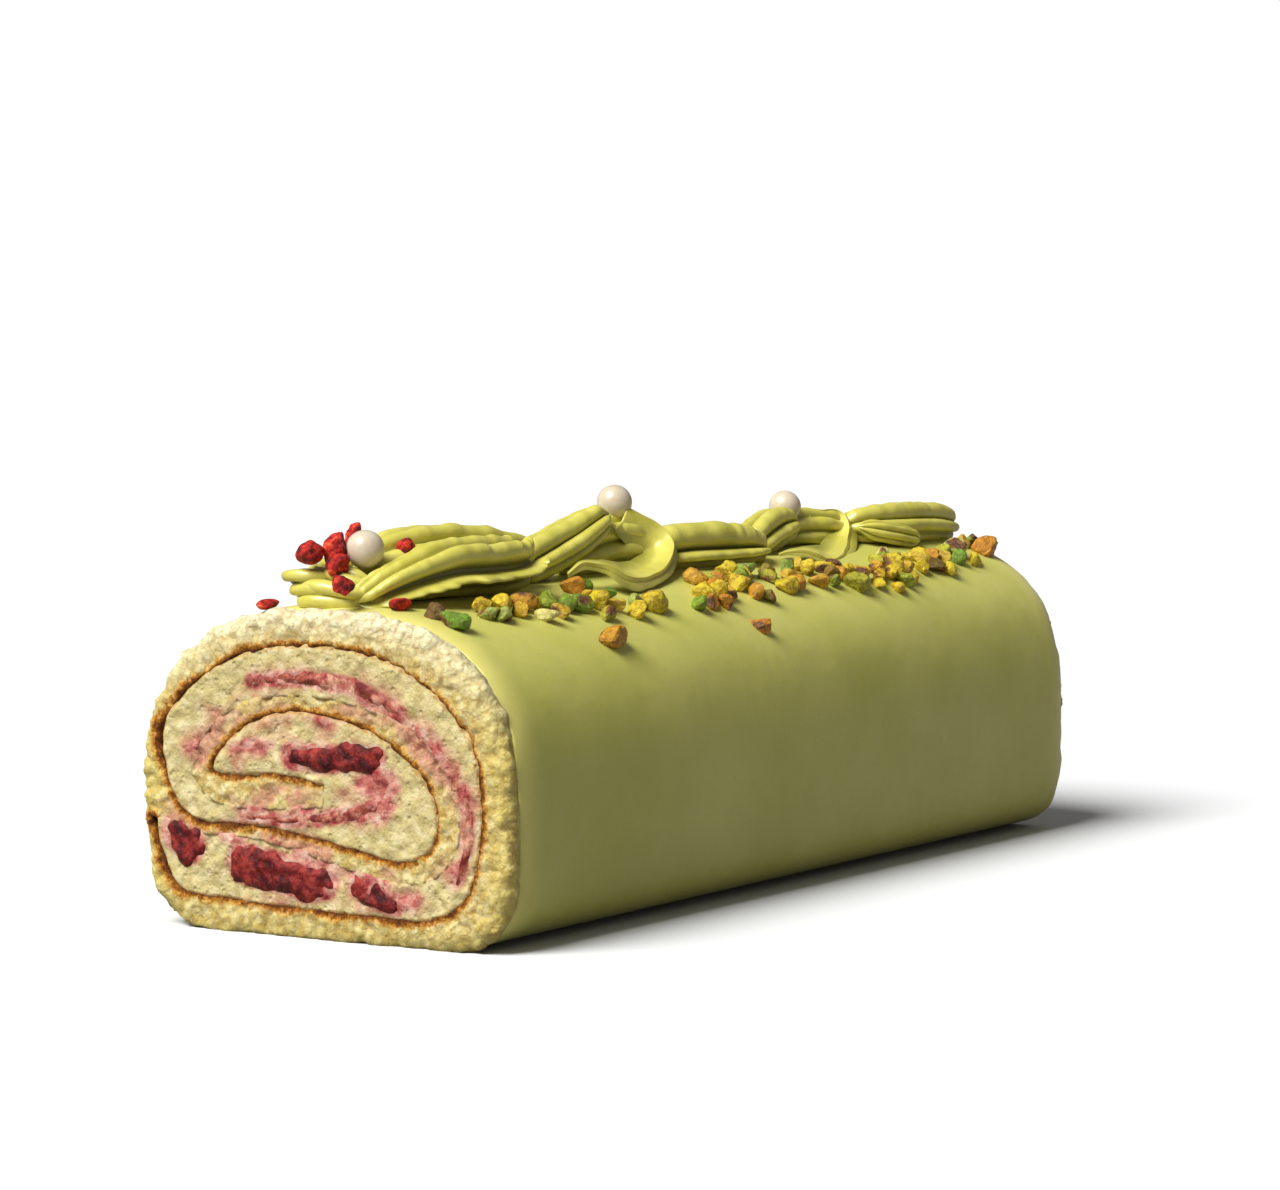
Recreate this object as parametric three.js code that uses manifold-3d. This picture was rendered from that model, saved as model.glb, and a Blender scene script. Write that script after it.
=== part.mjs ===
// Swiss roll cake with a red berry and cream filling, a thin satin icing, piped cream, sugar pearls,
// dried berry pieces and chopped nuts on top. Both ends are cut.
// Millimetres, +Z up. The roll lies along X, the origin is at the middle of its underside.
import * as THREE from 'three';
import { mergeVertices } from 'three/addons/utils/BufferGeometryUtils.js';
import Module from 'manifold-3d';

const wasm = await Module();
wasm.setup();

// Driving dimensions of the roll
const rollLength = 260;
const rollWidth = 100;
const rollHeight = 75;
const widestLevel = 33;
const upperFullness = 2.5;
const lowerFullness = 5.2;
const restingFlat = 0.8;
const outlineSteps = 84;

// Icing, and the gap kept between pieces that touch
const icingThickness = 1.5;
const icingSetBack = 1.5;
const icingFloorClearance = 1.3;
const fitGap = 0.3;

// Rolled sheet: where its browned side runs in the section, from the outer end to the heart,
// as [y, z, sheet thickness]
const sheetPath = [
  [47.0, 25.0, 3.0],
  [45.0, 16.5, 4.0],
  [40.5, 9.4, 5.0],
  [28.0, 7.8, 6.5],
  [-10.0, 6.6, 6.6],
  [-28.0, 7.0, 7.0],
  [-37.5, 12.0, 7.2],
  [-42.0, 28.0, 7.5],
  [-39.5, 46.0, 7.5],
  [-28.0, 58.5, 7.5],
  [-12.0, 65.0, 7.5],
  [6.0, 66.2, 7.5],
  [24.0, 63.0, 7.0],
  [38.0, 54.5, 5.5],
  [45.0, 45.0, 5.0],
  [43.8, 36.5, 6.0],
  [41.0, 29.0, 5.0],
  [35.0, 25.3, 3.2],
  [18.0, 25.0, 3.4],
  [-8.0, 21.4, 5.0],
  [-21.0, 19.4, 5.4],
  [-29.0, 23.5, 6.2],
  [-29.6, 32.5, 6.4],
  [-22.0, 42.5, 6.6],
  [-8.0, 49.2, 5.0],
  [7.0, 51.2, 4.4],
  [20.0, 48.2, 5.2],
  [29.0, 41.0, 6.2],
  [31.0, 37.0, 6.2],
  [26.5, 36.0, 7.2],
  [14.0, 37.0, 8.2],
  [0.0, 35.6, 5.6],
];
const sheetStep = 5.6;
const coveredFrom = 17;

// Red berry pieces in the filling, as the line through the middle of each with its half thickness
const berryLumps = {
  filling_berry_1: [[40.8, 19.4, 3.6], [37.2, 18.0, 4.2]],
  filling_berry_2: [[22.8, 15.2, 4.4], [15.0, 15.0, 5.0], [7.0, 13.4, 5.0], [1.8, 13.6, 3.6]],
  filling_berry_3: [[-9.5, 11.8, 2.7], [-17.0, 10.2, 2.7]],
  filling_berry_4: [[8.0, 41.0, 2.2], [-3.0, 41.4, 3.2], [-13.0, 41.0, 3.3]],
  berry_streak_1: [[20.0, 57.6, 1.1], [12.0, 58.7, 1.3], [4.0, 59.1, 1.5], [-6.0, 58.2, 1.9],
    [-14.0, 55.9, 1.7], [-20.5, 52.9, 1.2]],
  berry_streak_2: [[-37.6, 37.0, 0.9], [-38.8, 30.0, 1.3], [-38.0, 22.0, 1.4], [-35.8, 16.0, 1.0]],
  berry_streak_3: [[22.0, 26.8, 0.8], [12.0, 26.6, 1.0], [2.0, 27.4, 1.3], [-8.0, 29.4, 1.9],
    [-14.0, 31.4, 1.4]],
};
const lumpStep = 3;

// Piped cream. A rope's ribs, as [angle in degrees from its top towards the front, reach, half width],
// where a reach of 1 is the rope's radius
const creaseReach = 0.46;
const creaseFill = 0.1;
const shoulderAt = 0.55;
const ribs = {
  star: [
    [0, 1, 27], [51, 1, 27], [103, 1, 27], [154, 1, 27], [206, 1, 27], [257, 1, 27], [309, 1, 27],
  ],
  petals: [
    [-20, 1.1, 34], [40, 0.9, 30], [95, 1.35, 26], [150, 1, 30], [210, 0.9, 34], [275, 1, 34],
  ],
  leaf: [
    [2, 1, 24], [46, 1.1, 24], [95, 1.28, 12], [150, 0.6, 34], [200, 0.7, 30], [245, 0.9, 26],
    [282, 1, 22], [320, 1, 22],
  ],
  band: [
    [32, 1.02, 44], [96, 1.14, 13], [145, 0.75, 34], [205, 0.9, 34], [265, 1, 34], [325, 0.96, 32],
  ],
  split: [
    [18, 1.04, 36], [78, 1, 24], [124, 0.82, 26], [180, 0.8, 34], [240, 0.95, 34], [310, 1, 34],
  ],
};

// The ropes of each swirl, as the kind of ribs and points of [x from the near cut, y, lift, radius, turn],
// where lift is the height of the rope's middle over the icing and turn rolls the ribs to the front
const ropeStep = 5.5;
const ropeTip = 0.8;
const besideCream = 0.5;
const creamRopes = {
  piped_cream_1: [
    ['petals', [
      [26, 12, 4, 4.2, 0], [18.5, 12.5, 5, 4.8, 0], [13.5, 9.5, 5.2, 4.6, 0], [11.8, 4, 4.6, 4.4, 0],
      [12.6, -1, 3.4, 4, 0], [16, -4.5, 2, 3, 0],
    ]],
    ['leaf', [
      [9, -3.2, 1, 3, 25], [13, -4.6, 2.4, 4.2, 18], [18, -6.6, 4, 5.4, 10], [25, -8.4, 5.4, 6.7, 4],
      [34, -9.6, 6.3, 8, 0], [45, -10.8, 6.1, 8.2, 0], [57, -12.1, 5.8, 7.6, -8],
      [63, -12.8, 6.2, 6.4, -26],
    ]],
    ['star', [
      [20, 9, 5, 5, 20], [32, 2.5, 8, 7.8, 20], [50, -1.5, 8.2, 8, 20], [64, -5, 7, 7, 20],
      [73, -7, 6, 5, 20],
    ]],
  ],
  piped_cream_2: [
    ['split', [
      [75, -2, 2.2, 5.2, 0], [84, -2, 4.2, 6.2, 0], [92, -2, 6.2, 6.4, 0], [100, -2.6, 8.6, 6.2, 0],
      [107, -4, 11.6, 5, 0], [111, -5.2, 13.6, 3, 0],
    ]],
    ['star', [
      [98, 1, 3, 5, 0], [110, -1, 6, 7, 0], [119, -3, 6.2, 7.2, 0], [129, -6, 3, 5.4, 0],
    ]],
  ],
  piped_cream_3: [
    ['band', [
      [125, -6, 2.6, 5.6, 0], [136, -8, 3.2, 7.4, 0], [148, -10, 3, 7.6, 0], [159, -12.4, 2.4, 6.6, -6],
      [167, -15, 2, 3.8, -15],
    ]],
  ],
  piped_cream_4: [
    ['split', [
      [169, -8.5, 1, 4.6, 10], [178, -6.6, 3.2, 6, 10], [186, -6, 4.8, 6, 10], [194, -7.5, 6, 4.2, 10],
    ]],
    ['star', [
      [190, -2, 2.6, 4.6, 10], [200, -3, 3.4, 5.4, 10], [209, -6, 3, 5.8, 10], [217, -10, 1.6, 4, 10],
    ]],
  ],
  piped_cream_5: [
    ['split', [
      [214, -9, 3, 4.6, 0], [220, -12.4, 3.4, 5.8, 0], [230, -14.6, 3.2, 6.4, 0],
      [244, -15.4, 3, 6.2, 6], [253, -15.9, 2.4, 5.4, 12], [257, -16.1, 2.2, 4, 16],
    ]],
    ['star', [
      [214, -14.5, 4.6, 2.4, 0], [221, -18.5, 3.6, 2.9, 0], [232, -21.2, 1.8, 2.9, 0],
    ]],
  ],
};

// Bands of cream that curl over, as rows of [crest, inner foot, outer foot], each point as
// [x from the near cut, y, lift]
const creamFolds = {
  piped_cream_2: [
    [
      [[118.5, -6, 15.5], [108, -8.5, 10], [121, -4, 9]],
      [[121.5, -8.5, 13.5], [110.5, -8.5, 7.5], [126, -7.5, 8.5]],
      [[125, -11.5, 11], [114, -8, 5], [129.5, -10.5, 8.5]],
      [[125, -14.5, 8.5], [117, -8, 4], [128.5, -13.5, 6.5]],
      [[121, -17.5, 6.5], [117, -8.5, 4], [125, -16.5, 4]],
      [[115, -19.5, 4], [113.5, -9.5, 4], [119, -19.5, 2]],
      [[106.5, -21.5, 3], [110, -10.5, 4], [111.5, -22, 1]],
      [[98, -22.5, 3], [106, -12, 4.5], [104.5, -23.5, 0.5]],
      [[92.5, -22, 4], [101.5, -14, 5], [94.5, -24.5, 0]],
      [[89.5, -20.5, 5.5], [97, -15.5, 5.5], [88, -24, 1.5]],
      [[84.5, -19, 6.5], [89.5, -16, 6.5], [86.5, -20.5, 3.5]],
      [[81, -17, 6.2], [83, -15, 6.4], [82, -17.5, 4.4]],
      [[78, -15, 3.5], [78.5, -14.5, 4], [78.5, -15, 2.5]],
    ],
  ],
  piped_cream_4: [
    [
      [[204, -6, 8.5], [202, -8, 5], [203, -3, 6]],
      [[212, -9.5, 8.5], [210.5, -7, 3], [216, -6, 6]],
      [[212.5, -11.5, 7], [210.5, -7.5, 3], [220, -9, 7]],
      [[211, -13.5, 5], [208.5, -8.5, 3], [219, -11, 5]],
      [[206, -16, 2.5], [205.5, -9.5, 3], [216, -13.5, 3]],
      [[198, -19.5, 0.8], [202, -10.5, 2.5], [209, -17.5, 0.5]],
      [[190, -22, 0.4], [198, -12, 2], [199.5, -21.5, -1]],
      [[185, -22, 0.8], [194, -14, 2], [190, -23.5, -1.5]],
      [[182.5, -21, 2], [188.5, -16, 2.5], [184, -23, -1]],
      [[178.5, -19, 2.6], [183, -16.5, 2.6], [179.5, -20.5, 0.5]],
      [[174.5, -17.5, 2.2], [176.5, -16, 2.4], [174.5, -18, 1.2]],
      [[171.5, -16.5, 1.5], [172, -16, 1.6], [171.5, -16.5, 0.8]],
    ],
    [
      [[217.5, -12.5, 3], [222, -9, 3], [214, -13, 1]],
      [[219, -14, 2.6], [226, -10, 2.5], [216.5, -15.5, 1.5]],
      [[221.5, -16, 2.1], [228, -12, 1.4], [219.5, -17, 1.1]],
      [[225.5, -18.5, 0.6], [228, -16.5, 0.4], [225.5, -18.5, 0.2]],
    ],
  ],
};

// Sugar pearls, each as [x from the near cut, y, height of the middle over the roll, radius]
const pearls = [
  [17.5, 0.5, 12.2, 4.5],
  [118, -2.5, 16.2, 4.3],
  [196, -3.5, 9.8, 4.1],
];

// Dried berry pieces, each as [x from the near cut, y, height of the middle over the roll, half sizes],
// where a height of 0 lays the piece on the icing
const driedBerries = [
  [7.5, 8.8, 12.0, 3.9, 2.6, 2.5],
  [12.5, 5.2, 12.4, 2.6, 2.3, 4.2],
  [20.5, 6.2, 14.6, 2.2, 1.8, 3.8],
  [10.5, 2.6, 8.6, 3.0, 2.8, 2.6],
  [3.4, -3.2, 5.4, 2.2, 2.3, 2.6],
  [29, -2.5, 11.5, 2.6, 1.9, 2.2],
  [12.5, -12.5, 0, 2.7, 2.1, 1.6],
  [4.8, 18.5, 0, 4.2, 1.6, 1.3],
];

// Chopped nuts on the icing: groups as [x from the near cut, y, spread along x, spread along y, count]
const nutGroups = [
  [27, -14, 3, 2, 2],
  [17, -22, 3, 2, 1],
  [11, -28, 3, 2, 1],
  [38, -22, 9, 4, 9],
  [54, -25, 9, 5, 11],
  [78, -19, 7, 6, 9],
  [72, -30, 7, 4, 4],
  [86, -31, 5, 3, 3],
  [64, -37, 3, 2, 1],
  [114, -31, 8, 3, 6],
  [125, -26, 6, 4, 5],
  [140, -25, 8, 3, 6],
  [135, -33, 4, 3, 2],
  [122, -41, 3, 2, 1],
  [158, -27, 10, 5, 9],
  [176, -31, 8, 4, 9],
  [195, -33, 8, 4, 8],
  [208, -29, 8, 4, 8],
  [222, -30, 8, 4, 7],
  [236, -27, 6, 5, 4],
  [252, -28, 4, 4, 3],
];
const nutRadius = [1.9, 3.1];
const nutSide = 1.3;
const nutSunk = 0.35;
const nutWidest = 1.25;
const nutClearance = 0.4;
const nutBesideFold = 0.8;
const nutCloseness = 0.8;
const nutTries = 6;
const nutSeed = 20;
const nutEndSetBack = 5;
const nutScatter = 1.4;
const nutSmallness = 1.4;
const takenStep = 2.5;

// Finishes
const finishes = {
  sponge: { color: 0xe6d98c, roughness: 0.9, metalness: 0 },
  filling: { color: 0xdcd7a5, roughness: 0.6, metalness: 0 },
  berry: { color: 0x7e1c2c, roughness: 0.5, metalness: 0 },
  icing: { color: 0xa6a55a, roughness: 0.4, metalness: 0 },
  cream: { color: 0xb0b04a, roughness: 0.5, metalness: 0 },
  pearl: { color: 0xf3efe4, roughness: 0.25, metalness: 0 },
  dried: { color: 0xa51d1c, roughness: 0.7, metalness: 0 },
};

function seededRandom(seed) {
  let state = seed;
  return () => {
    state = (state * 1664525 + 1013904223) % 4294967296;
    return state / 4294967296;
  };
}

// A point of the roll's outline at a turn angle, pulled in from the icing's face by inset
function outlinePoint(angle, inset) {
  const c = Math.cos(angle);
  const s = Math.sin(angle);
  const power = 2 / (s >= 0 ? upperFullness : lowerFullness);
  const halfWidth = rollWidth / 2 - inset;
  const y = Math.sign(c) * Math.abs(c) ** power * halfWidth;
  if (s >= 0) return [y, widestLevel + s ** power * (rollHeight - widestLevel - inset)];
  const lowered = widestLevel - Math.abs(s) ** power * (widestLevel + restingFlat);
  return [y, Math.max(0, lowered)];
}

// The full outline of the roll, counter-clockwise, with its flat underside
function rollOutline(inset) {
  const outline = [];
  for (let i = 0; i < outlineSteps; i += 1) {
    const [y, z] = outlinePoint((2 * Math.PI * i) / outlineSteps, inset);
    const last = outline[outline.length - 1];
    const onFloor = z === 0 && last !== undefined && last[1] === 0;
    if (onFloor && outline.length > 1 && outline[outline.length - 2][1] === 0) outline.pop();
    outline.push([y, z]);
  }
  return outline;
}

// Height of the icing's face over the ground at a distance y from the middle
function icingHeight(y) {
  const share = Math.min(Math.abs(y) / (rollWidth / 2), 1) ** upperFullness;
  return widestLevel + (1 - share) ** (1 / upperFullness) * (rollHeight - widestLevel);
}

// A prism along X with the given section in Y and Z
function prism(section, fromX, toX) {
  const shape = new THREE.Shape(section.map(([y, z]) => new THREE.Vector2(y, z)));
  const geometry = new THREE.ExtrudeGeometry(shape, { depth: toX - fromX, bevelEnabled: false });
  const turn = new THREE.Matrix4().makeBasis(
    new THREE.Vector3(0, 1, 0),
    new THREE.Vector3(0, 0, 1),
    new THREE.Vector3(1, 0, 0),
  );
  geometry.applyMatrix4(turn);
  geometry.translate(fromX, 0, 0);
  return geometry;
}

function toSolid(geometry) {
  const bare = geometry.clone();
  bare.deleteAttribute('normal');
  bare.deleteAttribute('uv');
  const merged = mergeVertices(bare, 1e-4);
  return new wasm.Manifold(new wasm.Mesh({
    numProp: 3,
    vertProperties: new Float32Array(merged.attributes.position.array),
    triVerts: new Uint32Array(merged.index.array),
  }));
}

function toGeometry(solid) {
  const mesh = solid.getMesh();
  const geometry = new THREE.BufferGeometry();
  geometry.setAttribute('position', new THREE.BufferAttribute(mesh.vertProperties, 3));
  geometry.setIndex(new THREE.BufferAttribute(mesh.triVerts, 1));
  geometry.computeVertexNormals();
  return geometry;
}

// A smooth line through section points, as evenly spaced [y, z, value]
function smoothLine(points, step) {
  const curve = new THREE.CatmullRomCurve3(
    points.map((p) => new THREE.Vector3(p[0], p[1], p[2])),
    false,
    'centripetal',
  );
  const count = Math.round(curve.getLength() / step);
  return curve.getSpacedPoints(count).map((p) => [p.x, p.y, p.z]);
}

// The line moved sideways by its own third value times a factor, to the left of its run if positive
function besideLine(line, factor, extra = 0) {
  return line.map(([y, z, value], i) => {
    const before = line[Math.max(i - 1, 0)];
    const after = line[Math.min(i + 1, line.length - 1)];
    const length = Math.hypot(after[0] - before[0], after[1] - before[1]);
    const reach = factor * value + extra;
    const sideY = -(after[1] - before[1]) / length;
    const sideZ = (after[0] - before[0]) / length;
    return [y + sideY * reach, z + sideZ * reach];
  });
}

// A closed clockwise section with every edge moved inwards by the margin
function shrunkSection(section, margin) {
  const count = section.length;
  return section.map((point, i) => {
    const before = section[(i + count - 1) % count];
    const after = section[(i + 1) % count];
    const runIn = Math.atan2(point[1] - before[1], point[0] - before[0]);
    const runOut = Math.atan2(after[1] - point[1], after[0] - point[0]);
    const half = Math.atan2(Math.sin(runOut - runIn), Math.cos(runOut - runIn)) / 2;
    const reach = margin / Math.max(Math.cos(half), 0.4);
    const inward = runIn + half - Math.PI / 2;
    return [point[0] + Math.cos(inward) * reach, point[1] + Math.sin(inward) * reach];
  });
}

// Section of the space between the turns of the sheet: along the browned side to the heart, and
// back along the other side to where the sheet's outer end covers it
function spiralSection() {
  const whole = smoothLine(sheetPath, sheetStep);
  const coveredPoint = sheetPath[coveredFrom];
  const distances = whole.map((p) => Math.hypot(p[0] - coveredPoint[0], p[1] - coveredPoint[1]));
  const covered = whole.slice(distances.indexOf(Math.min(...distances)));
  const browned = besideLine(whole, 0);
  const outerFace = besideLine(covered, 1).reverse();
  return browned.concat(outerFace);
}

// Section of a berry piece: an even band round its middle line, with round ends
function lumpSection(spine, growth) {
  const line = smoothLine(spine, lumpStep);
  const left = besideLine(line, 1, growth);
  const right = besideLine(line, -1, -growth).reverse();
  const capSteps = 4;
  const cap = (centre, from, radius) => {
    const start = Math.atan2(from[1] - centre[1], from[0] - centre[0]);
    const ring = [];
    for (let i = 1; i < capSteps; i += 1) {
      const angle = start - (Math.PI * i) / capSteps;
      ring.push([centre[0] + Math.cos(angle) * radius, centre[1] + Math.sin(angle) * radius]);
    }
    return ring;
  };
  const last = line[line.length - 1];
  const first = line[0];
  return left.concat(
    cap(last, left[left.length - 1], last[2] + growth),
    right,
    cap(first, right[right.length - 1], first[2] + growth),
  );
}

function sponge() {
  const inset = icingThickness + fitGap;
  const body = toSolid(prism(rollOutline(inset), -rollLength / 2, rollLength / 2));
  const space = toSolid(prism(spiralSection(), -rollLength, rollLength));
  return toGeometry(body.subtract(space));
}

function creamFilling() {
  const section = shrunkSection(spiralSection(), fitGap);
  let filling = toSolid(prism(section, -rollLength / 2, rollLength / 2));
  for (const spine of Object.values(berryLumps)) {
    const room = prism(lumpSection(spine, fitGap), -rollLength, rollLength);
    filling = filling.subtract(toSolid(room));
  }
  return toGeometry(filling);
}

function fillingBerry(spine) {
  return prism(lumpSection(spine, 0), -rollLength / 2, rollLength / 2);
}

// The icing's section: over the top and down both sides, clear of the ground
function icingSection() {
  const outer = [];
  const inner = [];
  for (let i = 0; i <= outlineSteps; i += 1) {
    const angle = -Math.PI / 2 + (2 * Math.PI * i) / outlineSteps;
    const onFace = outlinePoint(angle, 0);
    if (onFace[1] > icingFloorClearance) {
      outer.push(onFace);
      inner.push(outlinePoint(angle, icingThickness));
    }
  }
  return outer.concat(inner.reverse());
}

// A chopped nut: a small block with uneven corners
function nutPiece(random, radius) {
  const side = nutSide * radius;
  const geometry = new THREE.BoxGeometry(side, side, side);
  geometry.deleteAttribute('normal');
  geometry.deleteAttribute('uv');
  const piece = mergeVertices(geometry, 1e-4);
  const corners = piece.attributes.position;
  for (let i = 0; i < corners.count; i += 1) {
    const stretch = 0.75 + 0.35 * random();
    corners.setXYZ(i, corners.getX(i) * stretch, corners.getY(i) * stretch, corners.getZ(i) * stretch);
  }
  piece.scale(1.15, 0.9, 0.85);
  piece.rotateX(random() * Math.PI);
  piece.rotateZ(random() * Math.PI * 2);
  return piece;
}

// Where the cream and the dried pieces lie, seen from above
function takenPlaces() {
  const taken = driedBerries.map(([x, y, , size]) => ({ x, y, radius: size }));
  for (const [, stations] of Object.values(creamRopes).flat()) {
    for (const [x, y, radius] of smoothLine(stations.map(([px, py, , r]) => [px, py, r]), takenStep)) {
      taken.push({ x, y, radius });
    }
  }
  for (const [, inner, outer] of Object.values(creamFolds).flat(2)) {
    const half = Math.hypot(outer[0] - inner[0], outer[1] - inner[1]) / 2;
    const x = (inner[0] + outer[0]) / 2;
    const y = (inner[1] + outer[1]) / 2;
    taken.push({ x, y, radius: half + nutBesideFold });
  }
  return taken;
}

// Places for the nuts, each clear of the cream, with neighbours that may touch
function nutPlaces(random) {
  const taken = takenPlaces();
  const places = [];
  const around = (middle, spread) => middle + (random() + random() - 1) * spread * nutScatter;
  for (const [groupX, groupY, spreadX, spreadY, count] of nutGroups) {
    let inGroup = 0;
    for (let i = 0; i < count * nutTries; i += 1) {
      const radius = nutRadius[0] + (nutRadius[1] - nutRadius[0]) * random() ** nutSmallness;
      const nut = { x: around(groupX, spreadX), y: around(groupY, spreadY), radius };
      const away = (p) => Math.hypot(p.x - nut.x, p.y - nut.y);
      const free = taken.every((p) => away(p) > p.radius + radius * nutWidest + nutClearance);
      const apart = places.every((p) => away(p) > (p.radius + radius) * nutCloseness);
      if (free && apart && inGroup < count && nut.x < rollLength - nutEndSetBack) {
        places.push(nut);
        inGroup += 1;
      }
    }
  }
  return places;
}

function icing() {
  const end = rollLength / 2 - icingSetBack;
  let coat = toSolid(prism(icingSection(), -end, end));
  const sponge = toSolid(prism(rollOutline(icingThickness - 0.1), -rollLength, rollLength));
  const random = seededRandom(nutSeed);
  for (const place of nutPlaces(random)) {
    const piece = nutPiece(random, place.radius);
    const lift = place.radius * (1 - nutSunk) * 0.8;
    piece.translate(place.x - rollLength / 2, place.y, icingHeight(place.y) + lift);
    coat = coat.add(toSolid(piece).subtract(sponge));
  }
  return toGeometry(coat);
}

// From [x from the near cut, y, height over the icing] to the roll's own frame
function onIcing([x, y, lift]) {
  return new THREE.Vector3(x - rollLength / 2, y, icingHeight(y) + lift);
}

// A rope's section as [angle in degrees, reach]: both shoulders of each rib, and the crease after it
function ribbedSection(kind) {
  const section = [];
  const kindRibs = ribs[kind];
  kindRibs.forEach(([angle, out, half], index) => {
    const [nextAngle, , nextHalf] = kindRibs[(index + 1) % kindRibs.length];
    const toNext = (nextAngle - angle + 360) % 360;
    const shoulder = creaseReach + (out - creaseReach) * Math.sqrt(1 - shoulderAt ** 2);
    section.push([angle - half * shoulderAt, shoulder], [angle + half * shoulderAt, shoulder]);
    const share = half / (half + nextHalf);
    section.push([angle + toNext * share, creaseReach + creaseFill]);
  });
  return section;
}

// One rope of cream: the ribbed section carried upright along its path, closed at a point at each end
function creamRope([kind, stations], growth = 0) {
  const path = new THREE.CatmullRomCurve3(stations.map(onIcing), false, 'centripetal');
  const values = new THREE.CatmullRomCurve3(
    stations.map((s, i) => new THREE.Vector3(i, s[3] + growth, s[4])),
    false,
    'centripetal',
  );
  const section = ribbedSection(kind);
  const sides = section.length;
  const rings = Math.max(6, Math.round(path.getLength() / ropeStep));
  const positions = [];
  const indices = [];
  for (let i = 0; i <= rings; i += 1) {
    const along = i / rings;
    const middle = path.getPointAt(along);
    const tangent = path.getTangentAt(along);
    const up = new THREE.Vector3(0, 0, 1).addScaledVector(tangent, -tangent.z).normalize();
    const front = new THREE.Vector3().crossVectors(tangent, up);
    const { y: radius, z: turn } = values.getPoint(path.getUtoTmapping(along));
    const endRounding = Math.sqrt(Math.min(1, (Math.min(i, rings - i) + 0.4) / 1.4));
    for (const [degrees, reach] of section) {
      const angle = THREE.MathUtils.degToRad(degrees + turn);
      const point = middle.clone();
      point.addScaledVector(up, Math.cos(angle) * reach * radius * endRounding);
      point.addScaledVector(front, Math.sin(angle) * reach * radius * endRounding);
      positions.push(point.x, point.y, point.z);
    }
  }
  for (let i = 0; i < rings; i += 1) {
    for (let j = 0; j < sides; j += 1) {
      const a = i * sides + j;
      const b = i * sides + ((j + 1) % sides);
      indices.push(a, b, b + sides, a, b + sides, a + sides);
    }
  }
  for (const [ring, tipOut] of [[0, -1], [rings, 1]]) {
    const tip = path.getPointAt(ring / rings);
    tip.addScaledVector(path.getTangentAt(ring / rings), tipOut * ropeTip);
    const tipIndex = positions.length / 3;
    positions.push(tip.x, tip.y, tip.z);
    for (let j = 0; j < sides; j += 1) {
      const a = ring * sides + j;
      const b = ring * sides + ((j + 1) % sides);
      if (tipOut > 0) indices.push(a, b, tipIndex);
      else indices.push(b, a, tipIndex);
    }
  }
  const geometry = new THREE.BufferGeometry();
  geometry.setAttribute('position', new THREE.Float32BufferAttribute(positions, 3));
  geometry.setIndex(indices);
  return toSolid(geometry);
}

// The corners of a small box round a point, or the point itself without growth
function cornersRound(point, growth) {
  if (growth === 0) return [point.toArray()];
  const corners = [];
  for (const dx of [-growth, growth]) {
    for (const dy of [-growth, growth]) {
      for (const dz of [-growth, growth]) corners.push([point.x + dx, point.y + dy, point.z + dz]);
    }
  }
  return corners;
}

// A folded band: blocks between its rows, with a rounded row put in between each two
function creamFold(rows, growth = 0) {
  const lines = [0, 1, 2].map((k) => new THREE.CatmullRomCurve3(rows.map((row) => onIcing(row[k]))));
  const steps = (rows.length - 1) * 2;
  const blocks = [];
  for (let i = 0; i < steps; i += 1) {
    const ends = lines.flatMap((line) => [line.getPoint(i / steps), line.getPoint((i + 1) / steps)]);
    blocks.push(wasm.Manifold.hull(ends.flatMap((point) => cornersRound(point, growth))));
  }
  return wasm.Manifold.union(blocks);
}

function pearlBall([x, y, height, radius], growth) {
  const ball = new THREE.IcosahedronGeometry(radius + growth, 2);
  ball.translate(x - rollLength / 2, y, rollHeight + height);
  return ball;
}

// A piece of dried berry: a pitted, uneven lump
function driedPiece(index, growth) {
  const [x, y, height, halfX, halfY, halfZ] = driedBerries[index];
  const random = seededRandom(100 + index);
  const ball = new THREE.IcosahedronGeometry(1, 1);
  ball.deleteAttribute('normal');
  ball.deleteAttribute('uv');
  const lump = mergeVertices(ball, 1e-4);
  const corners = lump.attributes.position;
  for (let i = 0; i < corners.count; i += 1) {
    const stretch = 0.78 + 0.32 * random();
    corners.setXYZ(i, corners.getX(i) * stretch, corners.getY(i) * stretch, corners.getZ(i) * stretch);
  }
  lump.scale(halfX + growth, halfY + growth, halfZ + growth);
  lump.rotateY(0.5 * (random() - 0.5));
  const ground = height > 0 ? rollHeight + height : icingHeight(y) + halfZ * 0.8;
  lump.translate(x - rollLength / 2, y, ground);
  return lump;
}

// The roll with the gap added, to cut what rests on it
function grownRoll() {
  return toSolid(prism(rollOutline(-fitGap), -rollLength, rollLength));
}

// The ropes and folds of a swirl as one solid
function creamWhole(name, growth = 0) {
  const ropes = creamRopes[name].map((rope) => creamRope(rope, growth));
  const folds = (creamFolds[name] ?? []).map((rows) => creamFold(rows, growth));
  return wasm.Manifold.union([...ropes, ...folds]);
}

// All that lies on the cream or under it is cut away from it with a gap, and so are the swirls before it
function creamSwirl(name, earlier) {
  let swirl = creamWhole(name).subtract(grownRoll());
  for (const pearl of pearls) swirl = swirl.subtract(toSolid(pearlBall(pearl, fitGap)));
  driedBerries.forEach((piece, index) => {
    swirl = swirl.subtract(toSolid(driedPiece(index, besideCream)));
  });
  for (const other of earlier) swirl = swirl.subtract(creamWhole(other, besideCream));
  return swirl;
}

// A dried piece, cut clear of the roll, the pearls and the pieces before it
function restingPiece(index) {
  let piece = toSolid(driedPiece(index, 0)).subtract(grownRoll());
  for (const pearl of pearls) piece = piece.subtract(toSolid(pearlBall(pearl, fitGap)));
  for (let i = 0; i < index; i += 1) {
    piece = piece.subtract(toSolid(driedPiece(i, besideCream)));
  }
  return toGeometry(largestBody(piece));
}

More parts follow.
